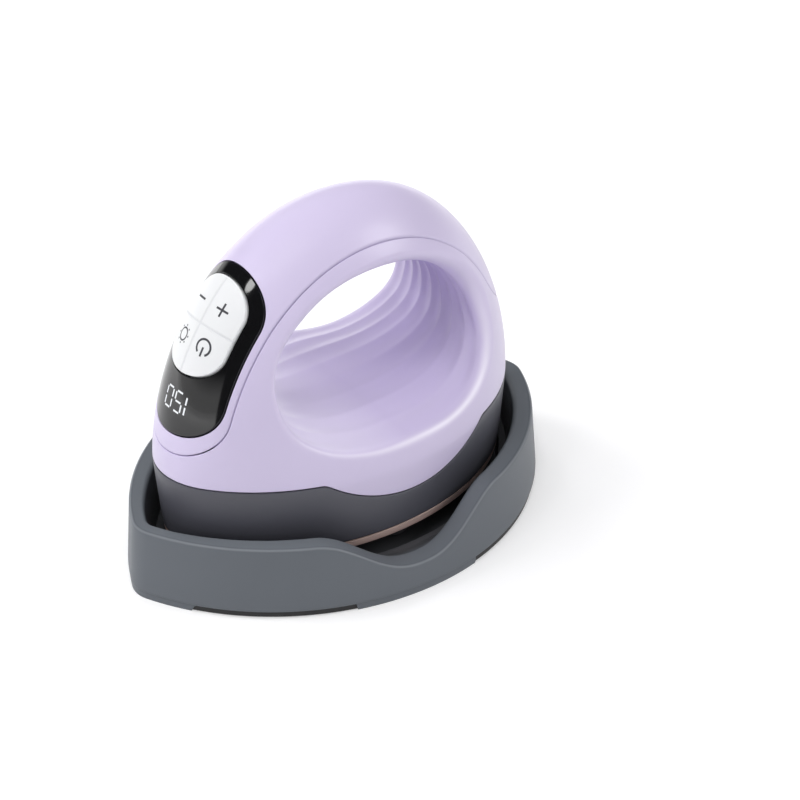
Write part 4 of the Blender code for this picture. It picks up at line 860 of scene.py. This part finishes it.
def build_main_housing():
    turns, heights, joined = housing_border(SEAM_GAP / 2 + EDGE_ROUND, 0.0)
    middle = facing(np.array([HOLE_X]), np.array([HOLE_Z]))[0]

    def spread(turn, z):
        return (middle - turn) * SPREAD_RADIUS, z - SPREAD_Z

    across, up = spread(turns, heights)
    dense = np.arange(HOLE_POINTS) / HOLE_POINTS
    x, z = hole_point(dense * math.tau, HOLE_LIP)
    hole_across, hole_up = spread(facing(x, z), z)
    places = math.tau * matched(np.arctan2(up, across), np.arctan2(hole_up, hole_across), dense)
    x, z = hole_point(places)
    bearings = np.arctan2(z - HOLE_Z, x - HOLE_X)
    back_share = ((1 + np.cos(places)) / 2) ** 2

    def border(margin, inset):
        turn, height, _ = housing_border(margin, inset)
        return body_point(turn, height, inset)

    edge = edge_rows(border, SHELL_WALL)[::-1]

    def side_rows(swells, widen):
        """One side, from the border's wall to the throat, and its half of the tunnel."""
        throat = swelling(bearings, swells)
        outer = HOLE_LIP + np.maximum(throat, 0.0)
        x, z = hole_point(places, outer)
        hole_turns = facing(x, z)
        rows = edge[:-1]
        for share in (1 - np.cos(np.linspace(0, math.pi, SIDE_ROWS))) / 2:
            turn = hole_turns * share + turns * (1 - share)
            rows = rows + [body_point(turn, z * share + heights * (1 - share))]
        x, z = hole_point(places, np.maximum(throat, 0.0))
        throat_y = half_width(x, z) - HOLE_LIP + np.minimum(throat, 0.0) * widen

        def tunnel(row):
            """One ring of the tunnel: row is 0 at its middle and 1 at the throat."""
            swing = math.sin(math.pi * RIPPLE_COUNT * row / 2)
            wave = math.sqrt(swing ** 2 + RIPPLE_SOFTNESS)
            floor_share = RIPPLE_FLOOR_SHARE * row ** RIPPLE_FLOOR_POWER
            depth = RIPPLE_DEPTH * wave * (back_share + (1 - back_share) * floor_share)
            depth *= 1 - row ** RIPPLE_FADE_POWER
            x, z = hole_point(places, throat * row ** 2 - HOLE_WAIST * (1 - row ** 2) + depth)
            return np.stack([x, row * throat_y, z], axis=-1)

        start, end = rows[-1], tunnel(1.0)
        x, z = hole_point(places, outer - LIP_START_STEP)
        first = body_point(facing(x, z), z) - start
        last = end - tunnel(LIP_END_ROW)
        reach = LIP_REACH * np.linalg.norm(end - start, axis=1)[:, None]
        first *= reach / np.linalg.norm(first, axis=1)[:, None]
        last *= reach / np.linalg.norm(last, axis=1)[:, None]
        for t in np.linspace(0, 1, LIP_ROWS + 1)[1:]:
            rows = rows + [start * (1 - t) ** 3 + (start + first) * 3 * t * (1 - t) ** 2
                           + (end + last) * 3 * t * t * (1 - t) + end * t ** 3]
        return rows, [tunnel(row) for row in np.linspace(1, 0, TUNNEL_ROWS + 1)[1:]]

    far, far_tunnel = side_rows(FAR_SWELLS, 0.5)
    near, near_tunnel = side_rows(LIP_SWELLS, 0.8)
    mirror = np.array([1.0, -1.0, 1.0])
    rings = far + far_tunnel + [ring * mirror for ring in near_tunnel[-2::-1] + near[::-1]]
    walls = len(edge) - 1
    faces = grid_faces(len(rings), len(places), closed=True)
    faces = [face for i, face in enumerate(faces)
             if walls <= i // len(places) < len(rings) - 1 - walls or not joined[i % len(places)]]
    plain = np.zeros(walls + SIDE_ROWS)
    over_lip = np.linspace(0, 1, LIP_ROWS + 1)[1:]
    # Painted highlight: the lip's rounding turns lighter, most along the bottom of the hole, less on
    # its right and little on its left, and the front wall of the tunnel turns lighter.
    lower = np.clip(0.5 - np.sin(bearings), 0.0, 1.0) * (0.55 + 0.45 * np.cos(bearings + 0.9))
    front = FRONT_PAINTED_LIGHT * np.clip(0.1 - np.cos(bearings + 0.2), 0.0, 1.0)
    rear_shade_share = np.clip(0.35 + 0.65 * np.cos(bearings - 0.6), 0.0, 1.0)
    lip = np.maximum(np.outer(np.concatenate([plain, np.sin(math.pi * over_lip) ** 3]), lower),
                     np.outer(np.concatenate([plain, over_lip ** 2]), front))
    # Painted shade: the tunnel turns darker towards its middle, most on its rear side; the throat
    # mark carries it.
    throat_painted_shade = np.outer(np.cos(np.linspace(0, math.pi / 2, TUNNEL_ROWS + 1)[:0:-1]) ** 0.7, rear_shade_share)
    bright = np.tile(front, (TUNNEL_ROWS, 1))
    crest = np.concatenate([lip, bright, bright[:-1], lip[::-1]])
    throat = np.concatenate([0 * lip, throat_painted_shade, throat_painted_shade[-2::-1], 0 * lip])
    housing = mesh_object("main_housing_skin", rings, faces, sharp=50.0, crest=crest,
                          throat=throat)
    dress(housing, lilac, "press", "main_housing", slot="housing_lilac")


# The lilac turns to its painted highlight and painted shade colours by the marks of the housing.
lilac = moulded("housing_lilac_abs", HOUSING_LILAC, roughness=0.34, grain=0.4 * MM,
                depth=0.003 * MM, shade=0.02, coat_weight=0.2, coat_roughness=0.2,
                marks={"crest": LILAC_PAINTED_HIGHLIGHT, "throat": LILAC_PAINTED_SHADE})
build_main_housing()


# Top cover: the separate lilac strip over the arch that carries the controls, with rounded ends and
# a thin seam all round. It snaps into the housing over the control board.
COVER_AXIS_Z = 45.0 * MM
COVER_CUT = math.radians(26.0)
PANEL_FRONT_BORDER = 8.6 * MM
PANEL_CROWN_DROP = 9.0 * MM
PANEL_SIDE_BORDER = 1.5 * MM
PANEL_END_DEPTH = 12.3 * MM
PANEL_TILT_REACH = 8.7 * MM
PAD_PLACE_SHARE = 0.371
PAD_END_POWER = 2.1
CAST_REACH = 70.0 * MM
CAST_DEPTH = 18.0 * MM
PANEL_FOOT_Z = COVER_FRONT_Z + PANEL_FRONT_BORDER
PANEL_HEAD_Z = BODY_TOP - PANEL_CROWN_DROP
PANEL_Z = PANEL_HEAD_Z - PAD_PLACE_SHARE * (PANEL_HEAD_Z - PANEL_FOOT_Z)
PANEL_HALF_WIDTH = COVER_HALF_WIDTH - PANEL_SIDE_BORDER


def front_line(z):
    return body_point(np.array([math.pi]), np.array([z]))[0, 0]


PANEL_LEAN = front_line(PANEL_Z + PANEL_TILT_REACH) - front_line(PANEL_Z - PANEL_TILT_REACH)
PANEL_TILT = math.atan2(PANEL_LEAN, 2 * PANEL_TILT_REACH)
PANEL_ORIGIN = np.array([front_line(PANEL_Z), 0.0, PANEL_Z])
UP_SLOPE = np.array([math.sin(PANEL_TILT), 0.0, math.cos(PANEL_TILT)])
ACROSS = np.array([0.0, 1.0, 0.0])
OUTWARD = np.array([-math.cos(PANEL_TILT), 0.0, math.sin(PANEL_TILT)])
PANEL_UP = (PANEL_HEAD_Z - PANEL_Z) / math.cos(PANEL_TILT)
PANEL_DOWN = (PANEL_Z - PANEL_FOOT_Z) / math.cos(PANEL_TILT)


def cast(starts, ways, inset=0.0):
    """Where rays that start inside the body cross its outer form, moved in by inset."""
    starts, ways = np.broadcast_arrays(starts, ways)

    def inside(reach):
        x, y, z = np.moveaxis(starts + ways * reach[..., None], -1, 0)
        return (z < BODY_TOP - inset) & (half_width(x, np.minimum(z, BODY_TOP - inset), inset)
                                         > abs(y) + 1e-8)

    low = np.zeros(starts.shape[:-1])
    reach = bisect(low, low + CAST_REACH, inside)
    return starts + ways * reach[..., None]


def capsule(down, up, half_width, end_depth, places):
    """A long rounded outline, given at places from 0 to 1 round it: up the slope and across."""
    turns = math.tau * np.linspace(0, 1, 4801)
    c, s = np.cos(turns), np.sin(turns)
    u = end_depth * signed_power(s, 2 / PAD_END_POWER)
    u += np.where(s > 0, up - end_depth, end_depth - down)
    v = half_width * signed_power(c, 2 / PAD_END_POWER)
    u[-1], v[-1] = u[0], v[0]
    run = np.concatenate([[0.0], np.cumsum(np.hypot(np.diff(u), np.diff(v)))])
    return np.interp(places, run / run[-1], u), np.interp(places, run / run[-1], v)


def on_panel(u, v, inset=0.0):
    """The point of the dome over a place on the control panel."""
    flat = (PANEL_ORIGIN + np.multiply.outer(u, UP_SLOPE) + np.multiply.outer(v, ACROSS)
            - OUTWARD * CAST_DEPTH)
    return cast(flat, OUTWARD, inset)


def panel_outline(places, grow):
    return capsule(PANEL_DOWN + grow, PANEL_UP + grow, PANEL_HALF_WIDTH + grow,
                   PANEL_END_DEPTH + grow, places)


def cover_ray(bearing, y, inset=0.0):
    """The point of the dome seen from the cover's axis at a bearing; the front side is positive."""
    bearing, y = np.broadcast_arrays(bearing, y)
    starts = np.stack([np.full_like(y, HOLE_X), y, np.full_like(y, COVER_AXIS_Z)], axis=-1)
    return cast(starts, np.stack([-np.sin(bearing), y * 0, np.cos(bearing)], axis=-1), inset)


def bearing_of(points):
    return np.arctan2(HOLE_X - points[..., 0], points[..., 2] - COVER_AXIS_Z)


def cover_border(margin, inset):
    """The cover's outline: front end, far seam to the back, back end, near seam to the front."""
    turns = np.linspace(0, math.pi, 81)
    y = (COVER_HALF_WIDTH - margin) * signed_power(np.cos(turns), 2 / COVER_END_POWER)
    drop = (COVER_END_DEPTH - margin) * abs(np.sin(turns)) ** (2 / COVER_END_POWER)
    ends = []
    for bottom, way in ((COVER_FRONT_Z, -1.0), (COVER_BACK_Z, 1.0)):
        starts = np.stack([np.full_like(y, HOLE_X), y, bottom + COVER_END_DEPTH - drop], axis=-1)
        ends.append(cast(starts, np.array([way, 0.0, 0.0]), inset))
    front, back = ends
    far = np.concatenate([np.linspace(bearing_of(front[-1]), COVER_CUT, 31),
                          np.linspace(COVER_CUT, bearing_of(back[-1]), 61)[1:]])
    seam = cover_ray(far, -(COVER_HALF_WIDTH - margin), inset)
    mirror = np.array([1.0, -1.0, 1.0])
    return front, seam, back[::-1], seam[::-1] * mirror


def build_top_cover():
    margin = SEAM_GAP / 2 + EDGE_ROUND
    front, seam, back, other_seam = cover_border(margin, 0.0)
    cut = cover_ray(COVER_CUT, back[:, 1])
    outer = np.concatenate([front[:-1], seam[:30], cut[:-1], other_seam[60:-1]])
    centre = bearing_of(on_panel(np.array([(PANEL_UP - PANEL_DOWN) / 2]), np.zeros(1)))[0]

    def spread(points):
        return (centre - bearing_of(points)) * COVER_AXIS_Z, points[..., 1]

    dense = np.arange(900) / 900
    along, side = spread(on_panel(*panel_outline(dense, margin)))
    outer_along, outer_side = spread(outer)
    places = matched(np.arctan2(outer_side, outer_along), np.arctan2(side, along), dense)
    opening = edge_rows(lambda m, inset: on_panel(*panel_outline(places, m), inset), SHELL_WALL)
    along, side = spread(opening[0])
    rows = opening[::-1]
    for share in (1 - np.cos(np.linspace(0, math.pi, 13)[1:])) / 2:
        bearing = centre - (along * (1 - share) + outer_along * share) / COVER_AXIS_Z
        rows.append(cover_ray(bearing, side * (1 - share) + outer_side * share))
    over = [cover_ray(COVER_CUT + (bearing_of(back) - COVER_CUT) * share, back[:, 1])
            for share in np.linspace(0, 1, 61)]

    def border(margin, inset):
        return np.concatenate([part[:-1] for part in cover_border(margin, inset)])

    edge = edge_rows(border, SHELL_WALL)
    faces = grid_faces(len(rows), len(outer), closed=True)
    points = np.concatenate(rows)
    faces += grid_faces(len(over), len(back), start=len(points))
    points = np.concatenate([points] + over)
    faces += grid_faces(len(edge), len(edge[0]), closed=True, start=len(points))
    cover = mesh_object("top_cover_skin", np.concatenate([points] + edge), faces, sharp=50.0)
    dress(cover, lilac, "press", "top_cover", slot="housing_lilac")


build_top_cover()


# Control window: a gloss black moulded cap let into the front of the cover, curved with the dome.
# The key pad fills its opening and the display shines through its lower end.
PAD_END_BORDER = 3.3 * MM
PAD_SIDE_BORDER = 3.1 * MM
PAD_END_DEPTH = 9.0 * MM
PAD_HALF_LENGTH = PANEL_UP - PAD_END_BORDER
PAD_HALF_WIDTH = PANEL_HALF_WIDTH - PAD_SIDE_BORDER
WINDOW_EDGE = EDGE_ROUND / 4
WINDOW_BLACK = (0.0035, 0.0035, 0.004)
WINDOW_DUST = (0.006, 0.006, 0.007)


def pad_outline(places, grow):
    length = PAD_HALF_LENGTH + grow
    return capsule(length, length, PAD_HALF_WIDTH + grow, PAD_END_DEPTH + grow, places)


def build_window_finish():
    finish = Finish("window_gloss_black", coat_weight=0.2, coat_roughness=0.12)
    dust = finish.noise(1.2 * MM, detail=4.0, roughness=0.7)
    flow = finish.noise(22.0 * MM)
    finish.feed("Base Color", finish.between(WINDOW_BLACK, WINDOW_DUST, dust))
    finish.feed("Roughness", dust * 0.04 + 0.05)
    finish.bump(flow, 0.02 * MM)
    return finish.material


def build_panel_window():
    outer_places = np.arange(240) / 240
    outer_u, outer_v = panel_outline(outer_places, -SEAM_GAP / 2 - WINDOW_EDGE)
    dense = np.arange(2400) / 2400
    u, v = pad_outline(dense, EDGE_ROUND)
    places = matched(np.arctan2(outer_v, outer_u), np.arctan2(v, u), dense)
    opening = edge_rows(lambda m, inset: on_panel(*pad_outline(places, m), inset), SHELL_WALL,
                        gap=0.0)
    outside = edge_rows(lambda m, inset: on_panel(*panel_outline(outer_places, -m), inset),
                        SHELL_WALL, ease=WINDOW_EDGE)
    u, v = pad_outline(places, EDGE_ROUND)
    rows = opening[::-1]
    for share in (1 - np.cos(np.linspace(0, math.pi, 19)[1:-1])) / 2:
        rows.append(on_panel(u * (1 - share) + outer_u * share, v * (1 - share) + outer_v * share))
    rows += outside
    faces = grid_faces(len(rows), len(outer_places), closed=True)
    window = mesh_object("panel_window_skin", rows, faces, sharp=50.0)
    dress(window, build_window_finish(), "press", "panel_window", slot="window_black")


build_panel_window()


# Keys: four quarters of a white rounded pad in silk ABS, each on its own stem over a switch. Minus
# and plus lie above the light and power keys, with dark grey printed signs.
GLYPH_LIFT = 0.02 * MM
KEY_PROUD = 0.4 * MM
KEY_SPLIT = 0.5 * MM
KEY_EASE = 0.15 * MM
KEY_WHITE = (0.80, 0.81, 0.825)
INK_GREY = (0.055, 0.055, 0.065)
STROKE_WIDTH = 0.54 * MM
SUN_PLACE = (4.4, 4.7)
SUN_RADIUS = 1.6
SUN_RAYS = (2.1, 2.5)
POWER_PLACE = (-4.1, 4.7)
POWER_RADIUS = 2.0
POWER_STEM = 2.4


def key_outline(up, side, margin):
    """One quarter of the pad, in from its border by margin: up the slope and across."""
    near = KEY_SPLIT / 2 + margin
    grow = -GAP - margin
    half, depth = PAD_HALF_WIDTH + grow, PAD_END_DEPTH + grow
    length = PAD_HALF_LENGTH + grow
    turns = np.linspace(0, math.acos((near / half) ** (PAD_END_POWER / 2)), 33)
    arc_u = length - depth + depth * np.sin(turns) ** (2 / PAD_END_POWER)
    arc_v = half * np.cos(turns) ** (2 / PAD_END_POWER)
    u = np.concatenate([np.linspace(near, length - depth, 7)[:-1], arc_u[:-1],
                        np.linspace(arc_u[-1], near, 19)[:-1], np.full(13, near)[:-1]])
    v = np.concatenate([np.full(6, half), arc_v[:-1], np.full(18, near),
                        np.linspace(near, half, 13)[:-1]])
    return up * u, side * v


def build_key(name, up, side, white):
    def loop(margin, inset):
        return on_panel(*key_outline(up, side, margin), inset - KEY_PROUD)

    edge = edge_rows(loop, SHELL_WALL + KEY_PROUD, gap=0.0, ease=KEY_EASE)
    u, v = key_outline(up, side, KEY_EASE)
    rows = edge[::-1]
    for share in (0.06, 0.15, 0.3, 0.5, 0.75, 1.0):
        rows.append(on_panel(u * (1 - share) + u.mean() * share, v * (1 - share) + v.mean() * share,
                             -KEY_PROUD))
    faces = grid_faces(len(rows), len(u), closed=True)
    cap = mesh_object(name + "_cap", rows, faces, sharp=50.0)
    dress(cap, white, name, name, slot="key_white")


def ribbon(u, v, width, lift, start):
    """A flat stroke along a line on the panel."""
    along = np.stack([np.gradient(u), np.gradient(v)])
    along /= np.linalg.norm(along, axis=0)
    points = [on_panel(u + along[1] * width * side, v - along[0] * width * side, -lift)
              for side in (-0.5, 0.5)]
    return points, grid_faces(2, len(u), start=start)


def build_signs(name, body, material, strokes, width, lift):
    """Printed or lit strokes, each a line of places to the reader's right and up, in millimetres."""
    points, faces = [], []
    for right, up in strokes:
        right, up = np.asarray(right, float) * MM, np.asarray(up, float) * MM
        rows, quads = ribbon(-up, right, width, lift, len(points))
        points += [point for row in rows for point in row]
        faces += quads
    dress(plain_object(name, points, faces), material, body)


def arc_stroke(right, up, radius, start, end):
    turns = np.radians(np.linspace(start, end, 49))
    return right + radius * np.cos(turns), up + radius * np.sin(turns)


def line_stroke(right, up, right_end, up_end):
    return np.linspace(right, right_end, 9), np.linspace(up, up_end, 9)


def build_keys():
    white = moulded("key_white_abs", KEY_WHITE, roughness=0.34, grain=0.4 * MM,
                    depth=0.003 * MM, shade=0.01)
    ink = moulded("key_printed_ink", INK_GREY, roughness=0.5, grain=0.2 * MM,
                  depth=0.002 * MM, shade=0.1)
    for name, up, side in (("key_minus", 1, 1), ("key_plus", 1, -1),
                           ("key_light", -1, 1), ("key_power", -1, -1)):
        build_key(name, up, side, white)
    sun = [arc_stroke(*SUN_PLACE, SUN_RADIUS, 0, 360)]
    for turn in (i * math.tau / 8 for i in range(8)):
        ends = [(SUN_PLACE[0] + reach * math.cos(turn), SUN_PLACE[1] + reach * math.sin(turn))
                for reach in SUN_RAYS]
        sun.append(line_stroke(*ends[0], *ends[1]))
    power = [arc_stroke(*POWER_PLACE, POWER_RADIUS, 125, 415),
             line_stroke(*POWER_PLACE, POWER_PLACE[0], POWER_PLACE[1] + POWER_STEM)]
    width, lift = STROKE_WIDTH, KEY_PROUD + GLYPH_LIFT
    build_signs("sign_minus", "key_minus", ink, [line_stroke(2.5, -5.4, 6.1, -5.4)], width, lift)
    build_signs("sign_plus", "key_plus", ink, [line_stroke(-6.0, -5.4, -2.4, -5.4),
                                               line_stroke(-4.2, -7.2, -4.2, -3.6)], width, lift)
    build_signs("sign_light", "key_light", ink, sun, width * 0.8, lift)
    build_signs("sign_power", "key_power", ink, power, width, lift)


build_keys()


# Key web: one thin white silicone cross that fills the slits between the keys, so that only faint
# lines part them. Its white is a little greyer than the keys': painted shade for the slits. It is
# moulded with the seal under the pad and stays with the body.
WEB_HALF_WIDTH = 0.235 * MM
WEB_SINK = 0.07 * MM
WEB_DEPTH = 1.2 * MM
WEB_POINTS = 81
# Painted shade: the web's white is a little greyer than the keys'.
WEB_PAINTED_SHADE_WHITE = (0.73, 0.74, 0.765)


def build_key_web():
    white = moulded("web_white_silicone", WEB_PAINTED_SHADE_WHITE, roughness=0.6, grain=0.4 * MM,
                    depth=0.003 * MM, shade=0.01)
    points, faces = [], []
    length, half = PAD_HALF_LENGTH - GAP, PAD_HALF_WIDTH - GAP
    top = WEB_SINK - KEY_PROUD
    along = np.linspace(-1.0, 1.0, WEB_POINTS)
    for u_end, v_end in ((length, 0.0), (0.0, half)):
        rows = []
        for side, inset in ((-1, WEB_DEPTH), (-1, top), (1, top), (1, WEB_DEPTH)):
            u = along * u_end + side * WEB_HALF_WIDTH * (u_end == 0)
            v = along * v_end + side * WEB_HALF_WIDTH * (v_end == 0)
            rows.append(on_panel(u, v, inset))
        start = len(points)
        faces += grid_faces(4, WEB_POINTS, start=start)
        faces += [tuple(start + end + row * WEB_POINTS for row in range(4))
                  for end in (0, WEB_POINTS - 1)]
        points += [point for row in rows for point in row]
    web = mesh_object("key_web", points, faces, sharp=40.0)
    dress(web, white, "press", slot="key_white")


build_key_web()


# Control board parts behind the window: the green board with four switches and the white-faced
# display module, fixed to posts under the cover with small steel screws.
FACE_WHITE = (0.62, 0.63, 0.64)
coat(board_finish, "control_board")
coat(part_black, *(f"switch_{key}" for key in ("minus", "plus", "light", "power")))
coat(moulded("display_white_face", FACE_WHITE, roughness=0.4, grain=0.3 * MM),
     "display_module")
coat(screw_steel, "control_board_screw_1", "control_board_screw_2")


# Display: three seven-bar digits of white light-emitting bars, seen through the dark window. They
# belong to the display module and show just over the window's face.
DIGIT_U_UP = 20.0
DIGIT_HEIGHT = 5.0
DIGIT_BARS = {"0": "abcdef", "1": "bc", "5": "afgcd"}
DIGIT_SPANS = (("1", -4.6, -4.3), ("5", -3.0, -0.5), ("0", 0.7, 3.4))
LIGHT_LOW = (0.82, 0.86, 0.92)
LIGHT_HIGH = (0.95, 0.97, 1.0)
BAR_WIDTH = 0.46 * MM
BAR_GAP = 0.3


def digit_bars(bars, left, right):
    """The lit bars of one digit between its left and right edges, in millimetres."""
    low, high = DIGIT_U_UP - DIGIT_HEIGHT / 2, DIGIT_U_UP + DIGIT_HEIGHT / 2
    middle, g = DIGIT_U_UP, BAR_GAP
    places = {"a": (left + g, high, right - g, high), "b": (right, high - g, right, middle + g),
              "c": (right, middle - g, right, low + g), "d": (left + g, low, right - g, low),
              "e": (left, middle - g, left, low + g), "f": (left, high - g, left, middle + g),
              "g": (left + g, middle, right - g, middle)}
    return [line_stroke(*places[bar]) for bar in bars]


def build_display():
    finish = Finish("display_white_light", base_color=(0.02, 0.02, 0.02, 1.0),
                    emission_strength=1.0, roughness=0.4)
    glow = finish.noise(0.6 * MM)
    finish.feed("Emission Color", finish.between(LIGHT_LOW, LIGHT_HIGH, glow))
    strokes = [bar for digit, left, right in DIGIT_SPANS
               for bar in digit_bars(DIGIT_BARS[digit], left, right)]
    build_signs("display_digits", "press", finish.material, strokes, BAR_WIDTH, GLYPH_LIFT)


build_display()


# Floor: a plain pale sweep under the object that keeps its soft shadow. It glows a little towards
# the viewer, and more with distance, so that it runs out into the white room.
FLOOR_RADIUS = 12.0
FLOOR_LOW = (0.74, 0.74, 0.75)
FLOOR_HIGH = (0.76, 0.76, 0.77)
FLOOR_GLOW = 0.3
GLOW_FROM = 0.25
GLOW_FULL = 0.9
BLACK = (0.0, 0.0, 0.0)
WHITE = (1.0, 1.0, 1.0)


def build_floor():
    ring = [(FLOOR_RADIUS * math.cos(turn), FLOOR_RADIUS * math.sin(turn), 0.0)
            for turn in np.linspace(0, math.tau, 65)[:-1]]
    floor = plain_object("floor", ring, [tuple(range(len(ring)))])
    finish = Finish("floor_pale", roughness=0.9, specular_ior_level=0.0, emission_strength=1.0)
    finish.feed("Base Color", finish.between(FLOOR_LOW, FLOOR_HIGH, finish.noise(0.4)))
    seen = finish.ray("Camera") | finish.ray("Glossy") | finish.ray("Transmission")
    away = finish.node("ShaderNodeVectorMath", {"operation": "LENGTH"}, {0: finish.place}, "Value")
    level = finish.node("ShaderNodeMapRange", {}, {"Value": away, "From Min": GLOW_FROM,
                                                   "From Max": GLOW_FULL, "To Min": FLOOR_GLOW})
    finish.feed("Emission Color", finish.between(BLACK, WHITE, seen * level))
    floor.data.materials.append(finish.material)


build_floor()


# Light: an even pale room and seven soft oval lamps. The strongest stands high over the far side of
# the display end; the glint lamp shines in the window, and a dark card edges the gloss.
ROOM_FILL = 0.44
ROOM_TINT = (1.0, 0.995, 1.0, 1.0)
ROOM_STOPS = ((0.1, WHITE), (0.25, (0.03, 0.03, 0.032)))
LAMP_AIM = (0.0, 0.0, 0.05)
LAMPS = (("key_lamp", (-0.65, 0.6, 1.05), 0.6, 0.6, 6.7),
         ("top_lamp", (-0.3, -0.3, 1.3), 0.6, 0.6, 4.0),
         ("side_lamp", (-0.3, -1.3, 0.5), 0.8, 0.8, 1.1),
         ("edge_lamp", (0.72, -0.6, 0.72), 0.45, 0.45, 2.6),
         ("front_lamp", (-1.25, -0.1, 0.45), 0.5, 0.5, 1.6),
         ("glint_lamp", (-0.74, -0.04, 1.035), 0.26, 0.18, 1.1),
         ("far_lamp", (0.35, 1.2, 0.5), 0.5, 0.5, 3.0))
MIRRORED_LAMPS = ("edge_lamp", "glint_lamp")
CARD_CORNERS = ((-0.225, -0.094, 0.0), (-0.1, -0.22, 0.0), (-0.1, -0.22, 0.2),
                (-0.225, -0.094, 0.2))


def build_world():
    """White to the camera, pale fill light, and in mirrors white low down and dark above."""
    world = bpy.data.worlds.new("pale_room")
    bpy.context.scene.world = world
    room = Nodes(world)
    room.tree.nodes.remove(room.tree.nodes["Background"])
    place = room.node("ShaderNodeTexCoord", {}, {}, "Generated")
    height = room.node("ShaderNodeSeparateXYZ", {}, {0: place}, "Z")
    sky = room.node("ShaderNodeValToRGB", {"stops": ROOM_STOPS}, {0: height})
    fill = room.node("ShaderNodeBackground", {}, {"Color": ROOM_TINT, "Strength": ROOM_FILL})
    mirrored = room.node("ShaderNodeBackground", {}, {"Color": sky})
    shown = room.node("ShaderNodeBackground", {}, {"Color": (*WHITE, 1.0)})
    in_gloss = room.ray("Glossy") | room.ray("Transmission")
    unseen = room.node("ShaderNodeMixShader", {}, {0: in_gloss, 1: fill, 2: mirrored})
    whole = room.node("ShaderNodeMixShader", {}, {0: room.ray("Camera"), 1: unseen, 2: shown})
    room.tree.links.new(whole.socket, room.tree.nodes["World Output"].inputs["Surface"])


def aimed(name, data, place, aim):
    """A lamp or camera at a place, turned to face its aim."""
    item = bpy.data.objects.new(name, data)
    item.location = place
    item.rotation_euler = (Vector(aim) - Vector(place)).to_track_quat("-Z", "Y").to_euler()
    bpy.context.scene.collection.objects.link(item)
    return item


def build_lamps():
    for name, place, width, height, power in LAMPS:
        light = bpy.data.lights.new(name, "AREA")
        light.shape = "ELLIPSE"
        light.size, light.size_y = width, height
        light.energy = power
        aimed(name, light, place, LAMP_AIM).visible_glossy = name in MIRRORED_LAMPS


def build_dark_card():
    """A black card at the near side that only mirror rays see."""
    card = plain_object("dark_card", CARD_CORNERS, [(0, 1, 2, 3)])
    card.data.materials.append(part_black)
    card.visible_camera = card.visible_diffuse = card.visible_shadow = False
    card.visible_transmission = False


build_world()
build_lamps()
build_dark_card()


# Camera at the photograph's viewing angle: high before the display end, on the near side, with a
# long lens.
CAMERA_PLACE = (-0.2570, -0.3451, 0.3056)
CAMERA_AIM = (0.0080, -0.0166, 0.0376)
CAMERA_LENS = 87.1
CAMERA_SENSOR = 36.0
camera_data = bpy.data.cameras.new("camera")
camera_data.lens = CAMERA_LENS
camera_data.sensor_width = CAMERA_SENSOR
camera_data.clip_start = 0.01
bpy.context.scene.camera = aimed("camera", camera_data, CAMERA_PLACE, CAMERA_AIM)
bpy.context.scene.view_settings.view_transform = "Standard"
